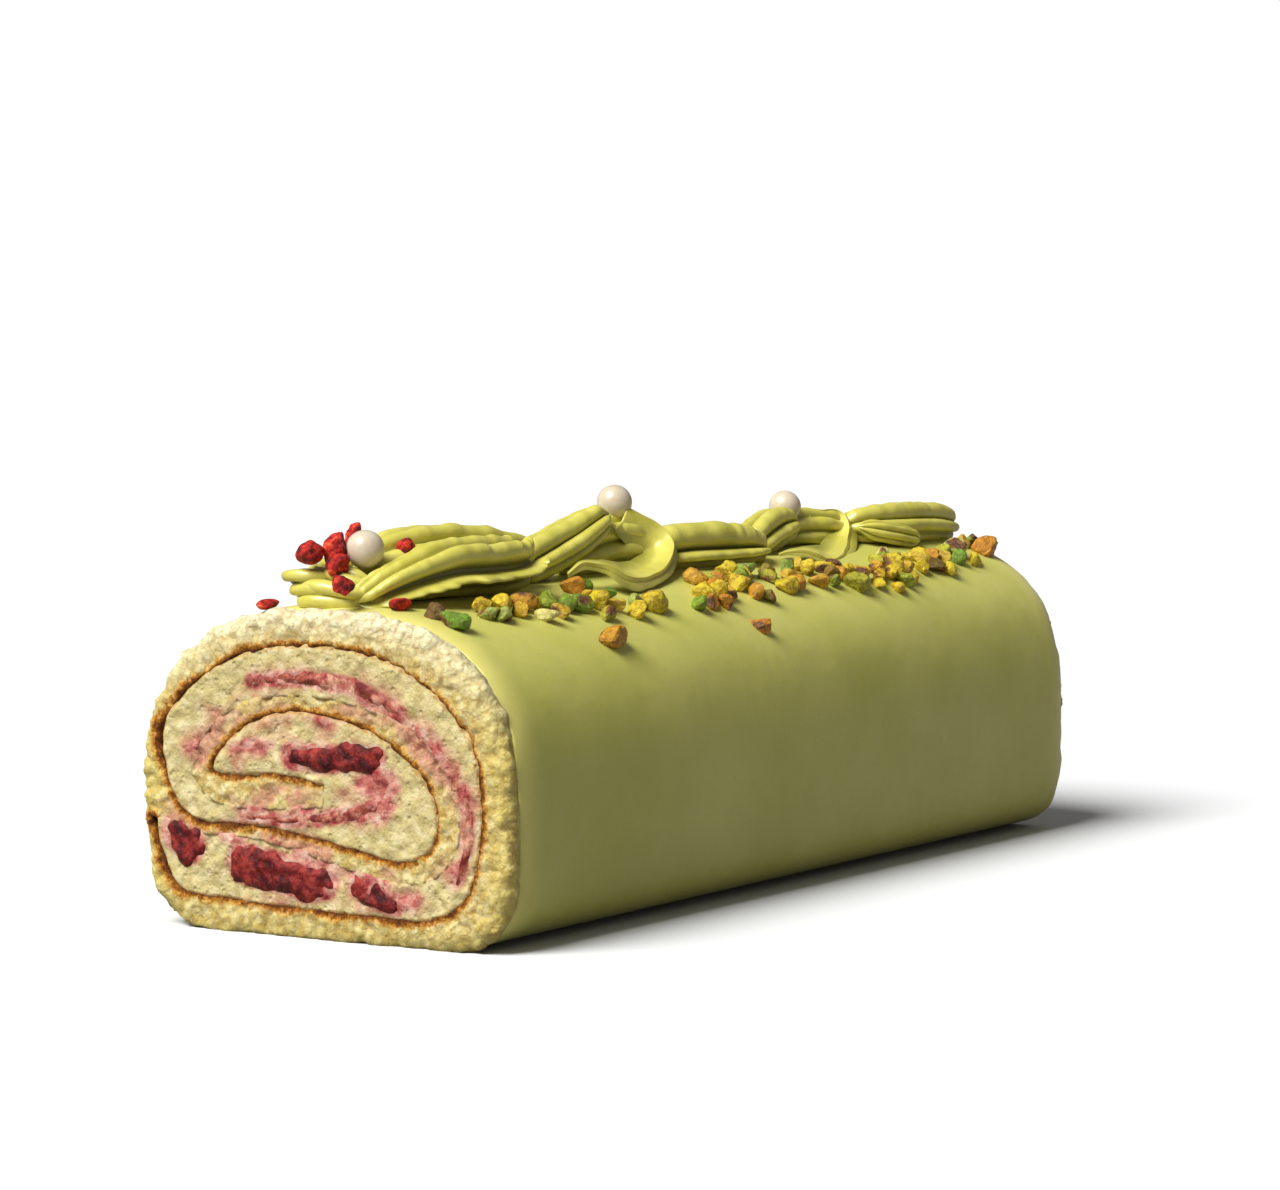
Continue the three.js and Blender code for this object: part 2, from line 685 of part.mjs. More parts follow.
// Only the largest body of a cut piece is kept
function largestBody(solid) {
  const bodies = solid.decompose();
  bodies.sort((a, b) => b.volume() - a.volume());
  return bodies[0];
}

function addMesh(group, name, geometry, finish) {
  const mesh = new THREE.Mesh(geometry, new THREE.MeshStandardMaterial(finish));
  mesh.name = name;
  group.add(mesh);
}

const group = new THREE.Group();
addMesh(group, 'sponge', sponge(), finishes.sponge);
addMesh(group, 'cream_filling', creamFilling(), finishes.filling);
for (const [name, spine] of Object.entries(berryLumps)) {
  addMesh(group, name, fillingBerry(spine), finishes.berry);
}
addMesh(group, 'icing', icing(), finishes.icing);
const laid = [];
for (const name of Object.keys(creamRopes)) {
  addMesh(group, name, toGeometry(largestBody(creamSwirl(name, laid))), finishes.cream);
  laid.push(name);
}
pearls.forEach((pearl, index) => {
  addMesh(group, `pearl_${index + 1}`, mergeVertices(pearlBall(pearl, 0)), finishes.pearl);
});
driedBerries.forEach((piece, index) => {
  addMesh(group, `dried_berry_${index + 1}`, restingPiece(index), finishes.dried);
});

export default group;
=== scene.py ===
import math

import bmesh
import bpy
import numpy as np
from mathutils import Matrix, Vector
from mathutils.geometry import delaunay_2d_cdt


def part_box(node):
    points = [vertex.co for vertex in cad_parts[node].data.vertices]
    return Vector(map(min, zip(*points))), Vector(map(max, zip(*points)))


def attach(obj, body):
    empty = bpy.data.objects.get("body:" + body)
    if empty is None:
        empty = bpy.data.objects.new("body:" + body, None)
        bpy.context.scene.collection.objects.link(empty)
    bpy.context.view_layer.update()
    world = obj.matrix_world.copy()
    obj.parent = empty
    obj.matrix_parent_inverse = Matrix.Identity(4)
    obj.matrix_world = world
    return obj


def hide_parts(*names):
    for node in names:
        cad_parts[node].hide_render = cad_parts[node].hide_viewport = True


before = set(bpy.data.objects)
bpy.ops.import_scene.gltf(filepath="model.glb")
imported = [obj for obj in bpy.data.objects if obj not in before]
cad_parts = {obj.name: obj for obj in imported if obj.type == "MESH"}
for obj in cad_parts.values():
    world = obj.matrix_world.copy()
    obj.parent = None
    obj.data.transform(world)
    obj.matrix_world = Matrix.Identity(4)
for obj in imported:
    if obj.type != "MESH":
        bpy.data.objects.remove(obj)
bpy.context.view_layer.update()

# Swiss roll cake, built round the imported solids. Work is in millimetres and becomes metres in makePiece.
metresPerMm = 0.001
spongeLow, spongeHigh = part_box("sponge")
icingLow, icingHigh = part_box("icing")

roll = {
    "length": (spongeHigh.x - spongeLow.x) / metresPerMm,
    "width": (icingHigh.y - icingLow.y) / metresPerMm,
    "height": 75.0,
    "widestLevel": 33.0,
    "upperFullness": 2.5,   # superellipse power of the outline above the widest level
    "lowerFullness": 5.2,
    "restingFlat": 0.8,
    "icingThickness": 1.5,
}
nearEnd = -roll["length"] / 2


# Random draws and noise

def seededDraws(seed):
    # the same draws that place the solid nuts
    state = seed
    while True:
        state = (state * 1664525 + 1013904223) % 4294967296
        yield state / 4294967296


def cornerValues(cells, seed):
    # a fixed value from -1 to 1 at each whole-numbered place
    mixed = cells[:, 0] * 374761393 + cells[:, 1] * 668265263 + cells[:, 2] * 2147483647 + seed * 1274126177
    mixed = (mixed ^ (mixed >> 13)) * 1103515245
    mixed = (mixed ^ (mixed >> 16)) & 0xFFFFFF
    return mixed / 0x7FFFFF - 1.0


def softNoise(points, size, seed):
    # smooth noise from -1 to 1, with lumps about as large as size
    scaled = np.asarray(points, float) / size
    cells = np.floor(scaled).astype(np.int64)
    part = scaled - cells
    part = part * part * (3 - 2 * part)
    total = np.zeros(len(scaled))
    for corner in range(8):
        step = np.array([corner & 1, (corner >> 1) & 1, (corner >> 2) & 1])
        weight = np.prod(np.where(step == 1, part, 1 - part), axis=1)
        total += weight * cornerValues(cells + step, seed)
    return total


def roughNoise(points, size, seed, layers=3):
    total = np.zeros(len(points))
    strength = 1.0
    for layer in range(layers):
        total += strength * softNoise(points, size / 2 ** layer, seed + layer * 17)
        strength *= 0.5
    return total


# Lines and sections, in the roll's cross-section as y and z

def smoothLine(points, step):
    # even points on a centripetal spline through the given ones
    given = np.array(points, float)
    ends = np.vstack([2 * given[0] - given[1], given, 2 * given[-1] - given[-2]])
    dense = []
    for i in range(1, len(ends) - 2):
        p0, p1, p2, p3 = ends[i - 1:i + 3]
        t1 = max(np.linalg.norm(p1 - p0) ** 0.5, 1e-6)
        t2 = t1 + max(np.linalg.norm(p2 - p1) ** 0.5, 1e-6)
        t3 = t2 + max(np.linalg.norm(p3 - p2) ** 0.5, 1e-6)
        t = np.linspace(t1, t2, 24, endpoint=False)[:, None]
        a1 = (t1 - t) / t1 * p0 + t / t1 * p1
        a2 = (t2 - t) / (t2 - t1) * p1 + (t - t1) / (t2 - t1) * p2
        a3 = (t3 - t) / (t3 - t2) * p2 + (t - t2) / (t3 - t2) * p3
        b1 = (t2 - t) / t2 * a1 + t / t2 * a2
        b2 = (t3 - t) / (t3 - t1) * a2 + (t - t1) / (t3 - t1) * a3
        dense.append((t2 - t) / (t2 - t1) * b1 + (t - t1) / (t2 - t1) * b2)
    dense = np.vstack(dense + [given[-1:]])
    return evenLine(dense, step)


def evenLine(line, step):
    lengths = np.concatenate([[0], np.cumsum(np.linalg.norm(np.diff(line, axis=0), axis=1))])
    count = max(2, int(round(lengths[-1] / step)))
    at = np.linspace(0, lengths[-1], count + 1)
    return np.stack([np.interp(at, lengths, line[:, k]) for k in range(line.shape[1])], axis=1)


def evenLoop(loop, step):
    return evenLine(np.vstack([loop, loop[:1]]), step)[:-1]


def loopArea(loop):
    # above zero where the loop runs anticlockwise
    return 0.5 * np.sum(loop[:, 0] * np.roll(loop[:, 1], -1) - np.roll(loop[:, 0], -1) * loop[:, 1])


def withDepth(flat, depth):
    return np.column_stack([flat, np.full(len(flat), depth)])


def besideLine(line, factor, extra=0.0):
    # the line moved to its left by its third value times the factor
    run = np.gradient(line[:, :2], axis=0)
    run /= np.linalg.norm(run, axis=1)[:, None]
    reach = factor * line[:, 2] + extra
    return line[:, :2] + np.stack([-run[:, 1], run[:, 0]], axis=1) * reach[:, None]


def outlinePoint(angle, inset):
    c, s = math.cos(angle), math.sin(angle)
    power = 2 / (roll["upperFullness"] if s >= 0 else roll["lowerFullness"])
    y = math.copysign(abs(c) ** power * (roll["width"] / 2 - inset), c)
    widest = roll["widestLevel"]
    if s >= 0:
        return y, widest + s ** power * (roll["height"] - widest - inset)
    return y, max(0.0, widest - abs(s) ** power * (widest + roll["restingFlat"]))


def rollOutline(inset, step):
    loop = np.array([outlinePoint(2 * math.pi * i / 720, inset) for i in range(721)])
    return evenLine(loop, step)[:-1]


def icingHeight(y):
    share = np.minimum(np.abs(y) / (roll["width"] / 2), 1) ** roll["upperFullness"]
    rise = (1 - share) ** (1 / roll["upperFullness"])
    return roll["widestLevel"] + rise * (roll["height"] - roll["widestLevel"])


def gapTo(points, line, closed=False):
    # distance of each point from a line
    ends = np.vstack([line[1:], line[:1]]) if closed else line[1:]
    starts = line if closed else line[:-1]
    nearest = np.full(len(points), 1e9)
    for a, b in zip(starts, ends):
        run = b - a
        along = np.clip(((points - a) @ run) / max(run @ run, 1e-9), 0, 1)
        away = points - a - along[:, None] * run
        nearest = np.minimum(nearest, (away * away).sum(axis=1))
    return np.sqrt(nearest)


def isInside(points, loop):
    inside = np.zeros(len(points), bool)
    y, z = points[:, 0], points[:, 1]
    for a, b in zip(loop, np.vstack([loop[1:], loop[:1]])):
        crosses = (a[1] > z) != (b[1] > z)
        if a[1] != b[1]:
            inside ^= crosses & (y < (b[0] - a[0]) * (z - a[1]) / (b[1] - a[1]) + a[0])
    return inside


def unevenGrid(loop, spacing, seed):
    # staggered points over the loop's box, each moved a little
    low, high = loop.min(axis=0), loop.max(axis=0)
    rows = np.arange(low[1], high[1], spacing * 0.87)
    columns = np.arange(low[0], high[0], spacing)
    y, z = np.meshgrid(columns, rows)
    y = y + (np.arange(len(rows)) % 2)[:, None] * spacing / 2
    grid = np.stack([y.ravel(), z.ravel()], axis=1)
    draws = np.random.default_rng(seed)
    return grid + (draws.random(grid.shape) - 0.5) * spacing * 0.5


def placesOf(origins, count):
    # where each of the first given points stands among the corners
    places = np.full(count, -1)
    for index, origin in enumerate(origins):
        for source in origin:
            if source < count:
                places[source] = index
    return places


def fillSection(loop, spacing, seed):
    # corners and triangles over a section, and where the loop's own points stand among the corners
    grid = unevenGrid(loop, spacing, seed)
    grid = grid[isInside(grid, loop)]
    grid = grid[gapTo(grid, loop, closed=True) > spacing * 0.5]
    given = [Vector(p) for p in np.vstack([loop, grid])]
    found = delaunay_2d_cdt(given, [], [list(range(len(loop)))], 1, 1e-5)
    return np.array([tuple(c) for c in found[0]]), np.array(found[2]), placesOf(found[3], len(loop))


def towardNearEnd(flat, triangles):
    # every triangle comes in the same turn, so the first one tells
    return triangles[:, ::-1] if loopArea(flat[triangles[0]]) > 0 else triangles


def joinRings(rings, forward):
    # four-sided faces between closed rings of corners that follow each other
    faces = []
    for here, there in zip(rings[:-1], rings[1:]):
        quads = np.stack([here, np.roll(here, -1), np.roll(there, -1), there], axis=1)
        faces += (quads if forward else quads[:, ::-1]).tolist()
    return faces


# Making pieces and finishes

def makePiece(name, corners, faces, finish, shades=None, smooth=True):
    mesh = bpy.data.meshes.new(name)
    faces = faces.tolist() if isinstance(faces, np.ndarray) else faces
    mesh.from_pydata((corners * metresPerMm).tolist(), [], faces)
    mesh.validate()
    for key, values in (shades or {}).items():
        layer = mesh.attributes.new(key, "FLOAT", "POINT")
        layer.data.foreach_set("value", np.asarray(values, np.float32))
    mesh.polygons.foreach_set("use_smooth", [smooth] * len(mesh.polygons))
    mesh.materials.append(finish)
    mesh.update()
    piece = bpy.data.objects.new(name, mesh)
    bpy.context.scene.collection.objects.link(piece)
    return piece


def settle(piece, slot, *nodes):
    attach(piece, "root")
    if nodes:
        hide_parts(*nodes)


def newFinish(name, roughness, gloss, glow=0.0, glowRadius=None):
    finish = bpy.data.materials.new(name)
    finish.use_nodes = True
    shader = finish.node_tree.nodes["Principled BSDF"]
    shader.inputs["Roughness"].default_value = roughness
    shader.inputs["Specular IOR Level"].default_value = gloss
    if glow > 0:
        shader.inputs["Subsurface Weight"].default_value = glow
        shader.inputs["Subsurface Radius"].default_value = glowRadius
        shader.inputs["Subsurface Scale"].default_value = 1.0
    return finish, finish.node_tree, shader


def addNode(tree, kind, settings=None, **sockets):
    # a socket goes by its name, or by its number as i0, i1 and so on
    node = tree.nodes.new(kind)
    for key, value in (settings or {}).items():
        setattr(node, key, value)
    for key, value in sockets.items():
        socket = node.inputs[int(key[1:])] if key[0] == "i" and key[1:].isdigit() else node.inputs[key]
        if isinstance(value, bpy.types.NodeSocket):
            tree.links.new(value, socket)
        else:
            socket.default_value = value
    return node


def placeOf(tree):
    return addNode(tree, "ShaderNodeTexCoord").outputs["Object"]


def noiseOf(tree, sizeMm, detail=3.0, rough=0.6):
    return addNode(tree, "ShaderNodeTexNoise", Vector=placeOf(tree), Scale=1 / (sizeMm * metresPerMm),
                   Detail=detail, Roughness=rough).outputs["Fac"]


def poresOf(tree, sizeMm):
    return addNode(tree, "ShaderNodeTexVoronoi", Vector=placeOf(tree),
                   Scale=1 / (sizeMm * metresPerMm)).outputs["Distance"]


def levelOf(tree, lowMm, highMm):
    # 0 at the first height, 1 at the second one
    height = addNode(tree, "ShaderNodeSeparateXYZ", i0=placeOf(tree)).outputs[2]
    return spread(tree, height, lowMm * metresPerMm, highMm * metresPerMm)


def shadeOf(tree, key):
    return addNode(tree, "ShaderNodeAttribute", {"attribute_name": key}).outputs["Fac"]


def rampOf(tree, value, stops):
    ramp = addNode(tree, "ShaderNodeValToRGB", Fac=value)
    band = ramp.color_ramp
    while len(band.elements) < len(stops):
        band.elements.new(0.5)
    for element, (at, colour) in zip(band.elements, stops):
        element.position = at
        element.color = (*colour, 1.0)
    return ramp.outputs["Color"]


def spread(tree, value, fromLow, fromHigh, toLow=0.0, toHigh=1.0):
    return addNode(tree, "ShaderNodeMapRange", i0=value, i1=fromLow, i2=fromHigh,
                   i3=toLow, i4=toHigh).outputs[0]


def mathOf(tree, operation, a, b):
    return addNode(tree, "ShaderNodeMath", {"operation": operation}, i0=a, i1=b).outputs[0]


def plusNoise(tree, value, amount, noise):
    return mathOf(tree, "ADD", value, mathOf(tree, "MULTIPLY", noise, amount))


def mixOf(tree, share, a, b, blend="MIX"):
    node = addNode(tree, "ShaderNodeMix", {"data_type": "RGBA", "blend_type": blend}, i0=share)
    for socket, value in ((node.inputs[6], a), (node.inputs[7], b)):
        if isinstance(value, bpy.types.NodeSocket):
            tree.links.new(value, socket)
        else:
            socket.default_value = (*value, 1.0)
    return node.outputs[2]


def giveSurface(tree, shader, colour, heights):
    # colour and relief reach the shader; each height is a socket and its depth in mm
    tree.links.new(colour, shader.inputs["Base Color"])
    normal = None
    for height, depthMm in heights:
        bump = addNode(tree, "ShaderNodeBump", Height=height, Strength=1.0,
                       Distance=depthMm * metresPerMm)
        if normal is not None:
            tree.links.new(normal, bump.inputs["Normal"])
        normal = bump.outputs["Normal"]
    tree.links.new(normal, shader.inputs["Normal"])


# Camera and light come first

view = {
    "place": (-1.2567, -0.7931, 0.2097),
    "aim": (0.8426, 0.5303, -0.0951),
    "lens": 173.6,
    "sensor": 36.0,
}
light = {
    "from": (-0.61, 0.17, 0.77),
    "strength": 5.2,
    "spread": 33.0,         # in degrees; a wider one makes softer shadows
    "skyStrength": 0.16,
    "floorBounce": 0.30,    # how bright the floor is to everything but the camera
    "skyColour": (1.0, 1.0, 1.0),
}
floorLook = {
    "tones": ((0.73, 0.73, 0.73), (0.75, 0.75, 0.75)),
    "half": 6000,           # half its side, in mm
}


def setCamera():
    camera = bpy.data.cameras.new("camera")
    camera.lens = view["lens"]
    camera.sensor_width = view["sensor"]
    camera.clip_end = 20
    holder = bpy.data.objects.new("camera", camera)
    bpy.context.scene.collection.objects.link(holder)
    holder.location = view["place"]
    holder.rotation_euler = Vector(view["aim"]).to_track_quat("-Z", "Y").to_euler()
    bpy.context.scene.camera = holder


def setLight():
    sun = bpy.data.lights.new("window", "SUN")
    sun.energy = light["strength"]
    sun.angle = math.radians(light["spread"])
    lamp = bpy.data.objects.new("window", sun)
    bpy.context.scene.collection.objects.link(lamp)
    lamp.rotation_euler = Vector(light["from"]).to_track_quat("Z", "Y").to_euler()
    world = bpy.data.worlds.new("studio")
    bpy.context.scene.world = world
    world.use_nodes = True
    tree = world.node_tree
    background = tree.nodes["Background"]
    seen = addNode(tree, "ShaderNodeLightPath").outputs["Is Camera Ray"]
    strength = mathOf(tree, "MAXIMUM", seen, light["skyStrength"])
    background.inputs["Color"].default_value = (*light["skyColour"], 1)
    tree.links.new(strength, background.inputs["Strength"])


def layFloor():
    finish, tree, shader = newFinish("paleFloor", 0.8, gloss=0.1)
    tone = mixOf(tree, noiseOf(tree, 400), *floorLook["tones"])
    seen = addNode(tree, "ShaderNodeLightPath").outputs["Is Camera Ray"]
    tone = mixOf(tree, seen, (light["floorBounce"],) * 3, tone)
    tree.links.new(tone, shader.inputs["Base Color"])
    half = floorLook["half"]
    corners = np.array([(-half, -half, 0), (half, -half, 0), (half, half, 0), (-half, half, 0)])
    floor = makePiece("floor", corners, [(0, 1, 2, 3)], finish)


setCamera()
setLight()
layFloor()
bpy.context.scene.view_settings.view_transform = "Standard"
print("camera, light and floor are set")


# The rolled sheet: its browned side from the outer end to the heart, as y, z and thickness

sheet = {
    "path": [
        [47.0, 25.0, 3.0], [45.0, 16.5, 4.0], [40.5, 9.4, 5.0], [28.0, 7.8, 6.5],
        [-10.0, 6.6, 6.6], [-28.0, 7.0, 7.0], [-37.5, 12.0, 7.2], [-42.0, 28.0, 7.5],
        [-39.5, 46.0, 7.5], [-28.0, 58.5, 7.5], [-12.0, 65.0, 7.5], [6.0, 66.2, 7.5],
        [24.0, 63.0, 7.0], [38.0, 54.5, 5.5], [45.0, 45.0, 5.0], [43.8, 36.5, 6.0],
        [41.0, 29.0, 5.0], [35.0, 25.3, 3.2], [18.0, 25.0, 3.4], [-8.0, 21.4, 5.0],
        [-21.0, 19.4, 5.4], [-29.0, 23.5, 6.2], [-29.6, 32.5, 6.4], [-22.0, 42.5, 6.6],
        [-8.0, 49.2, 5.0], [7.0, 51.2, 4.4], [20.0, 48.2, 5.2], [29.0, 41.0, 6.2],
        [31.0, 37.0, 6.2], [26.5, 36.0, 7.2], [14.0, 37.0, 8.2], [0.0, 35.6, 5.6],
    ],
    "coveredFrom": 17,      # the point where the outer end covers the sheet
    "grain": 0.6,           # spacing of the mesh on the cut faces
    "gridSeed": 5,
    "nearSeed": 3,
    "farSeed": 53,
    "rimRound": 2.6,
    "rimRings": [4.2, 5.2, 6.2, 7.5, 9.0, 14.0],    # how far from each cut its outside has corners
    "farHidden": 5.0,       # how much further the icing reaches at the far cut
    "crumbDepth": 0.8,
    # the sponge swells out at the cut on one side: how far, around what height, over what span
    "swell": 3.2,
    "swellLevel": 34.0,
    "swellSpan": 21.0,
    "swellDepth": 13.0,
    # how deep the sponge lies under the icing's outside, by distance from the cut
    "rimCover": [[0.0, 0.1], [3.0, 0.1], [4.5, 0.35], [6.0, 0.9], [7.5, 1.4], [9.0, 1.65], [14.0, 1.7]],
    "crumb": [(0.34, (0.52, 0.33, 0.085)), (0.46, (0.70, 0.54, 0.19)), (0.60, (0.86, 0.75, 0.40))],
    "rim": (0.78, 0.64, 0.17),
    # painted highlight: the rim's colour turns paler towards the top, and darker towards the foot
    "rimPaintedHighlight": (0.97, 0.93, 0.66),
    "rimFoot": (0.52, 0.42, 0.11),
    # painted shade in the sunken gaps between crumb clumps
    "clumpGapShade": (0.50, 0.33, 0.08),
    "pit": (0.46, 0.26, 0.045),
    "browned": [
        (0.0, (0.05, 0.014, 0.003)), (0.35, (0.20, 0.06, 0.006)), (0.6, (0.54, 0.22, 0.020)),
        (0.9, (0.78, 0.46, 0.09))],
    "pink": (0.68, 0.34, 0.23),
    "stain": (0.40, 0.09, 0.06),
}
filling = {
    "grain": 0.6,
    "seed": 21,
    "growth": 0.6,          # how far it reaches into the sponge, so that no gap shows
    "cream": [(0.35, (0.51, 0.41, 0.155)), (0.5, (0.60, 0.50, 0.22)), (0.65, (0.71, 0.61, 0.33))],
    "juicy": [
        (0.37, (0.30, 0.03, 0.03)), (0.47, (0.48, 0.13, 0.10)), (0.57, (0.64, 0.32, 0.24)),
        (0.70, (0.75, 0.54, 0.41))],
    "edge": (0.46, 0.20, 0.035),
}
berries = {
    "lumps": {
        "filling_berry_1": [[41.2, 21.6, 3.4], [37.6, 19.0, 4.4]],
        "filling_berry_2": [[22.6, 15.8, 4.2], [16.0, 15.0, 5.0], [9.5, 14.0, 4.0],
                            [5.2, 12.8, 4.8], [0.8, 13.8, 3.0]],
        "filling_berry_3": [[-8.6, 13.0, 2.3], [-13.5, 11.4, 2.9], [-18.4, 9.6, 2.1]],
        "filling_berry_4": [[9.0, 41.4, 1.7], [1.0, 41.0, 2.7], [-6.0, 41.8, 3.4], [-13.4, 42.0, 2.9]],
    },
    "streaks": {
        "berry_streak_1": [[20.0, 57.6, 1.1], [12.0, 58.7, 1.3], [4.0, 59.1, 1.5],
                           [-6.0, 58.2, 1.9], [-14.0, 55.9, 1.7], [-20.5, 52.9, 1.2]],
        "berry_streak_2": [[-37.6, 37.0, 0.9], [-38.8, 30.0, 1.3], [-38.0, 22.0, 1.4],
                           [-35.8, 16.0, 1.0]],
        "berry_streak_3": [[22.0, 26.8, 0.8], [12.0, 26.6, 1.0], [2.0, 27.4, 1.3],
                           [-8.0, 29.4, 1.9], [-14.0, 31.4, 1.4]],
    },
    "looks": {
        "lumps": {"finish": "berryFlesh", "slot": "berry", "ragged": 1.5, "lift": 0.5, "tones": [
            (0.38, (0.045, 0.002, 0.003)), (0.5, (0.15, 0.008, 0.007)), (0.64, (0.34, 0.035, 0.025))]},
        "streaks": {"finish": "berryStreak", "slot": "berry_stain", "ragged": 1.0, "lift": 0.1, "tones": [
            (0.38, (0.13, 0.012, 0.010)), (0.5, (0.36, 0.08, 0.05)), (0.64, (0.62, 0.32, 0.21))]},
    },
    "grain": 0.45,
    "firstSeed": 31,
    # where juice has stained sponge and cream: lines of y and z, their reach and strength
    "juice": [
        {"line": [[35.3, 41.4], [29.9, 50.7], [18.2, 56.7], [0, 59.5], [-17.1, 54.1], [-28.9, 44.9],
                  [-37.4, 34.5], [-37.4, 22.9], [-33.2, 14.6]], "reach": 5.5, "strength": 0.75},
        {"line": [[24.6, 42], [19.3, 44], [8.6, 43], [-12.8, 42.2], [-17.1, 37], [-12.8, 29.6],
                  [-2.1, 30.4], [8.6, 30.7], [22.5, 30.4]], "reach": 4.4, "strength": 1.0},
        {"line": [[-6, 36], [-13, 36]], "reach": 6.0, "strength": 1.0},
        {"line": [[26, 22], [10.7, 20.6], [-2.1, 17.4], [-15, 14.4]], "reach": 5.0, "strength": 0.95},
        {"line": [[41, 24], [37, 20]], "reach": 6.0, "strength": 0.6},
        {"line": [[-19, 10.5], [-26, 10.5]], "reach": 4.0, "strength": 0.85},
        {"line": [[26, 39], [22, 46], [6, 51], [-10, 50]], "reach": 5.0, "strength": 0.7},
        {"line": [[24, 8.5], [4, 8.5], [-16, 8.5]], "reach": 3.0, "strength": 0.5},
    ],
}

crustWhole = smoothLine(sheet["path"], 0.8)
coveredPoint = np.array(sheet["path"][sheet["coveredFrom"]][:2])
coveredIndex = int(np.argmin(np.linalg.norm(crustWhole[:, :2] - coveredPoint, axis=1)))
crustLine = crustWhole[:, :2]
coveredFace = besideLine(crustWhole[coveredIndex:], 1)[::-1]
spiralLoop = evenLoop(np.vstack([crustLine, coveredFace]), 0.6)
spongeOutline = rollOutline(roll["icingThickness"], 0.7)
loopRun = np.roll(spiralLoop, -1, axis=0) - np.roll(spiralLoop, 1, axis=0)
loopRun /= np.linalg.norm(loopRun, axis=1)[:, None]
fillingLoop = spiralLoop + np.stack([-loopRun[:, 1], loopRun[:, 0]], axis=1) * filling["growth"]


def juiceAt(flat, seed):
    deep = withDepth(flat, seed * 1.9)
    patchy = 0.55 + 0.9 * softNoise(deep, 6.0, seed) + 0.55 * softNoise(deep, 2.4, seed + 1)
    patchy = np.clip(patchy, 0, 1.3)
    total = np.zeros(len(flat))
    for spot in berries["juice"]:
        away = gapTo(flat, smoothLine(spot["line"], 1.5)) / spot["reach"]
        total = np.maximum(total, spot["strength"] * np.clip(1.2 - away, 0, 1) * patchy)
    halo = 0.75 + 0.3 * softNoise(deep, 2.0, seed + 2)
    for spine in list(berries["streaks"].values()) + list(berries["lumps"].values()):
        line = np.array(spine, float)
        away = gapTo(flat, line[:, :2]) - line[:, 2].mean()
        total = np.maximum(total, np.clip(1.0 - away / 1.6, 0, 1) * halo)
    return np.clip(total, 0, 1)


def twoEndedPiece(name, loop, grain, seed, finish, recessOf, shadesOf):
    # a layer that runs through the roll, with both cut faces in relief
    flat, triangles, edge = fillSection(loop, grain, seed)
    count = len(flat)
    near = np.column_stack([nearEnd + recessOf(flat, seed), flat])
    far = np.column_stack([-nearEnd - recessOf(flat, seed + 50), flat])
    nearFaces = towardNearEnd(flat, triangles)
    faces = nearFaces.tolist() + (nearFaces[:, ::-1] + count).tolist()
    faces += joinRings([edge, edge + count], loopArea(loop) > 0)
    shades = {key: np.concatenate([values, values]) for key, values in shadesOf(flat, seed).items()}
    return makePiece(name, np.vstack([near, far]), faces, finish, shades)


def crumbRecess(flat, seed):
    deep = withDepth(flat, seed * 3.1)
    crumb = 0.5 * softNoise(deep, 3.2, seed) + 0.55 * softNoise(deep, 1.5, seed + 1)
    pores = np.clip(softNoise(deep, 1.9, seed + 2) - 0.2, 0, 1) * 1.5
    radius = sheet["rimRound"]
    fromRim = np.clip(gapTo(flat, spongeOutline, closed=True), 0, radius)
    rounding = radius - np.sqrt(np.maximum(radius ** 2 - (radius - fromRim) ** 2, 0))
    ragged = 1 + 0.45 * softNoise(deep, 3.4, seed + 3)
    groove = 0.4 * np.exp(-(gapTo(flat, crustLine) / 0.5) ** 2)
    return 0.35 + sheet["crumbDepth"] * (crumb + pores) + rounding * ragged + groove


def outwardFrom(flat):
    # square to the roll's outline, outwards
    y, z = flat[:, 0], flat[:, 1] - roll["widestLevel"]
    upper = z >= 0
    power = np.where(upper, roll["upperFullness"], roll["lowerFullness"])
    reachZ = np.where(upper, roll["height"] - roll["widestLevel"], roll["widestLevel"] + roll["restingFlat"])
    reachY = roll["width"] / 2
    slopeY = np.sign(y) * np.abs(y / reachY) ** (power - 1) / reachY
    slopeZ = np.sign(z) * np.abs(z / reachZ) ** (power - 1) / reachZ
    length = np.maximum(np.hypot(slopeY, slopeZ), 1e-9)
    return np.stack([slopeY / length, slopeZ / length], axis=1)


def rimSwell(flat, fromCut, gap, seed):
    # moves points near the outside out to the rim's own surface, with crumbs
    cover = np.interp(fromCut, *zip(*sheet["rimCover"]))
    deep = np.column_stack([flat, fromCut + seed * 5.0])
    crumbs = 0.75 * softNoise(deep, 2.8, seed) + 0.45 * softNoise(deep, 1.3, seed + 1) - 0.25
    crumbs = crumbs * np.clip(1.4 - cover, 0, 1)
    share = np.clip(1 - gap / 5.0, 0, 1) ** 1.5
    swell = sheet["swell"] * np.exp(-((flat[:, 1] - sheet["swellLevel"]) / sheet["swellSpan"]) ** 2)
    swell = swell * (flat[:, 0] > 0) * np.clip(1 - fromCut / sheet["swellDepth"], 0, 1) ** 1.3
    moved = flat + outwardFrom(flat) * ((roll["icingThickness"] - cover + crumbs + swell) * share)[:, None]
    moved[:, 1] = np.maximum(moved[:, 1], 0.0)
    return moved


def spongeShades(flat, seed):
    return {
        "crustGap": gapTo(flat, crustLine),
        "rimGap": gapTo(flat, spongeOutline, closed=True),
        "juice": juiceAt(flat, seed + 9),
    }


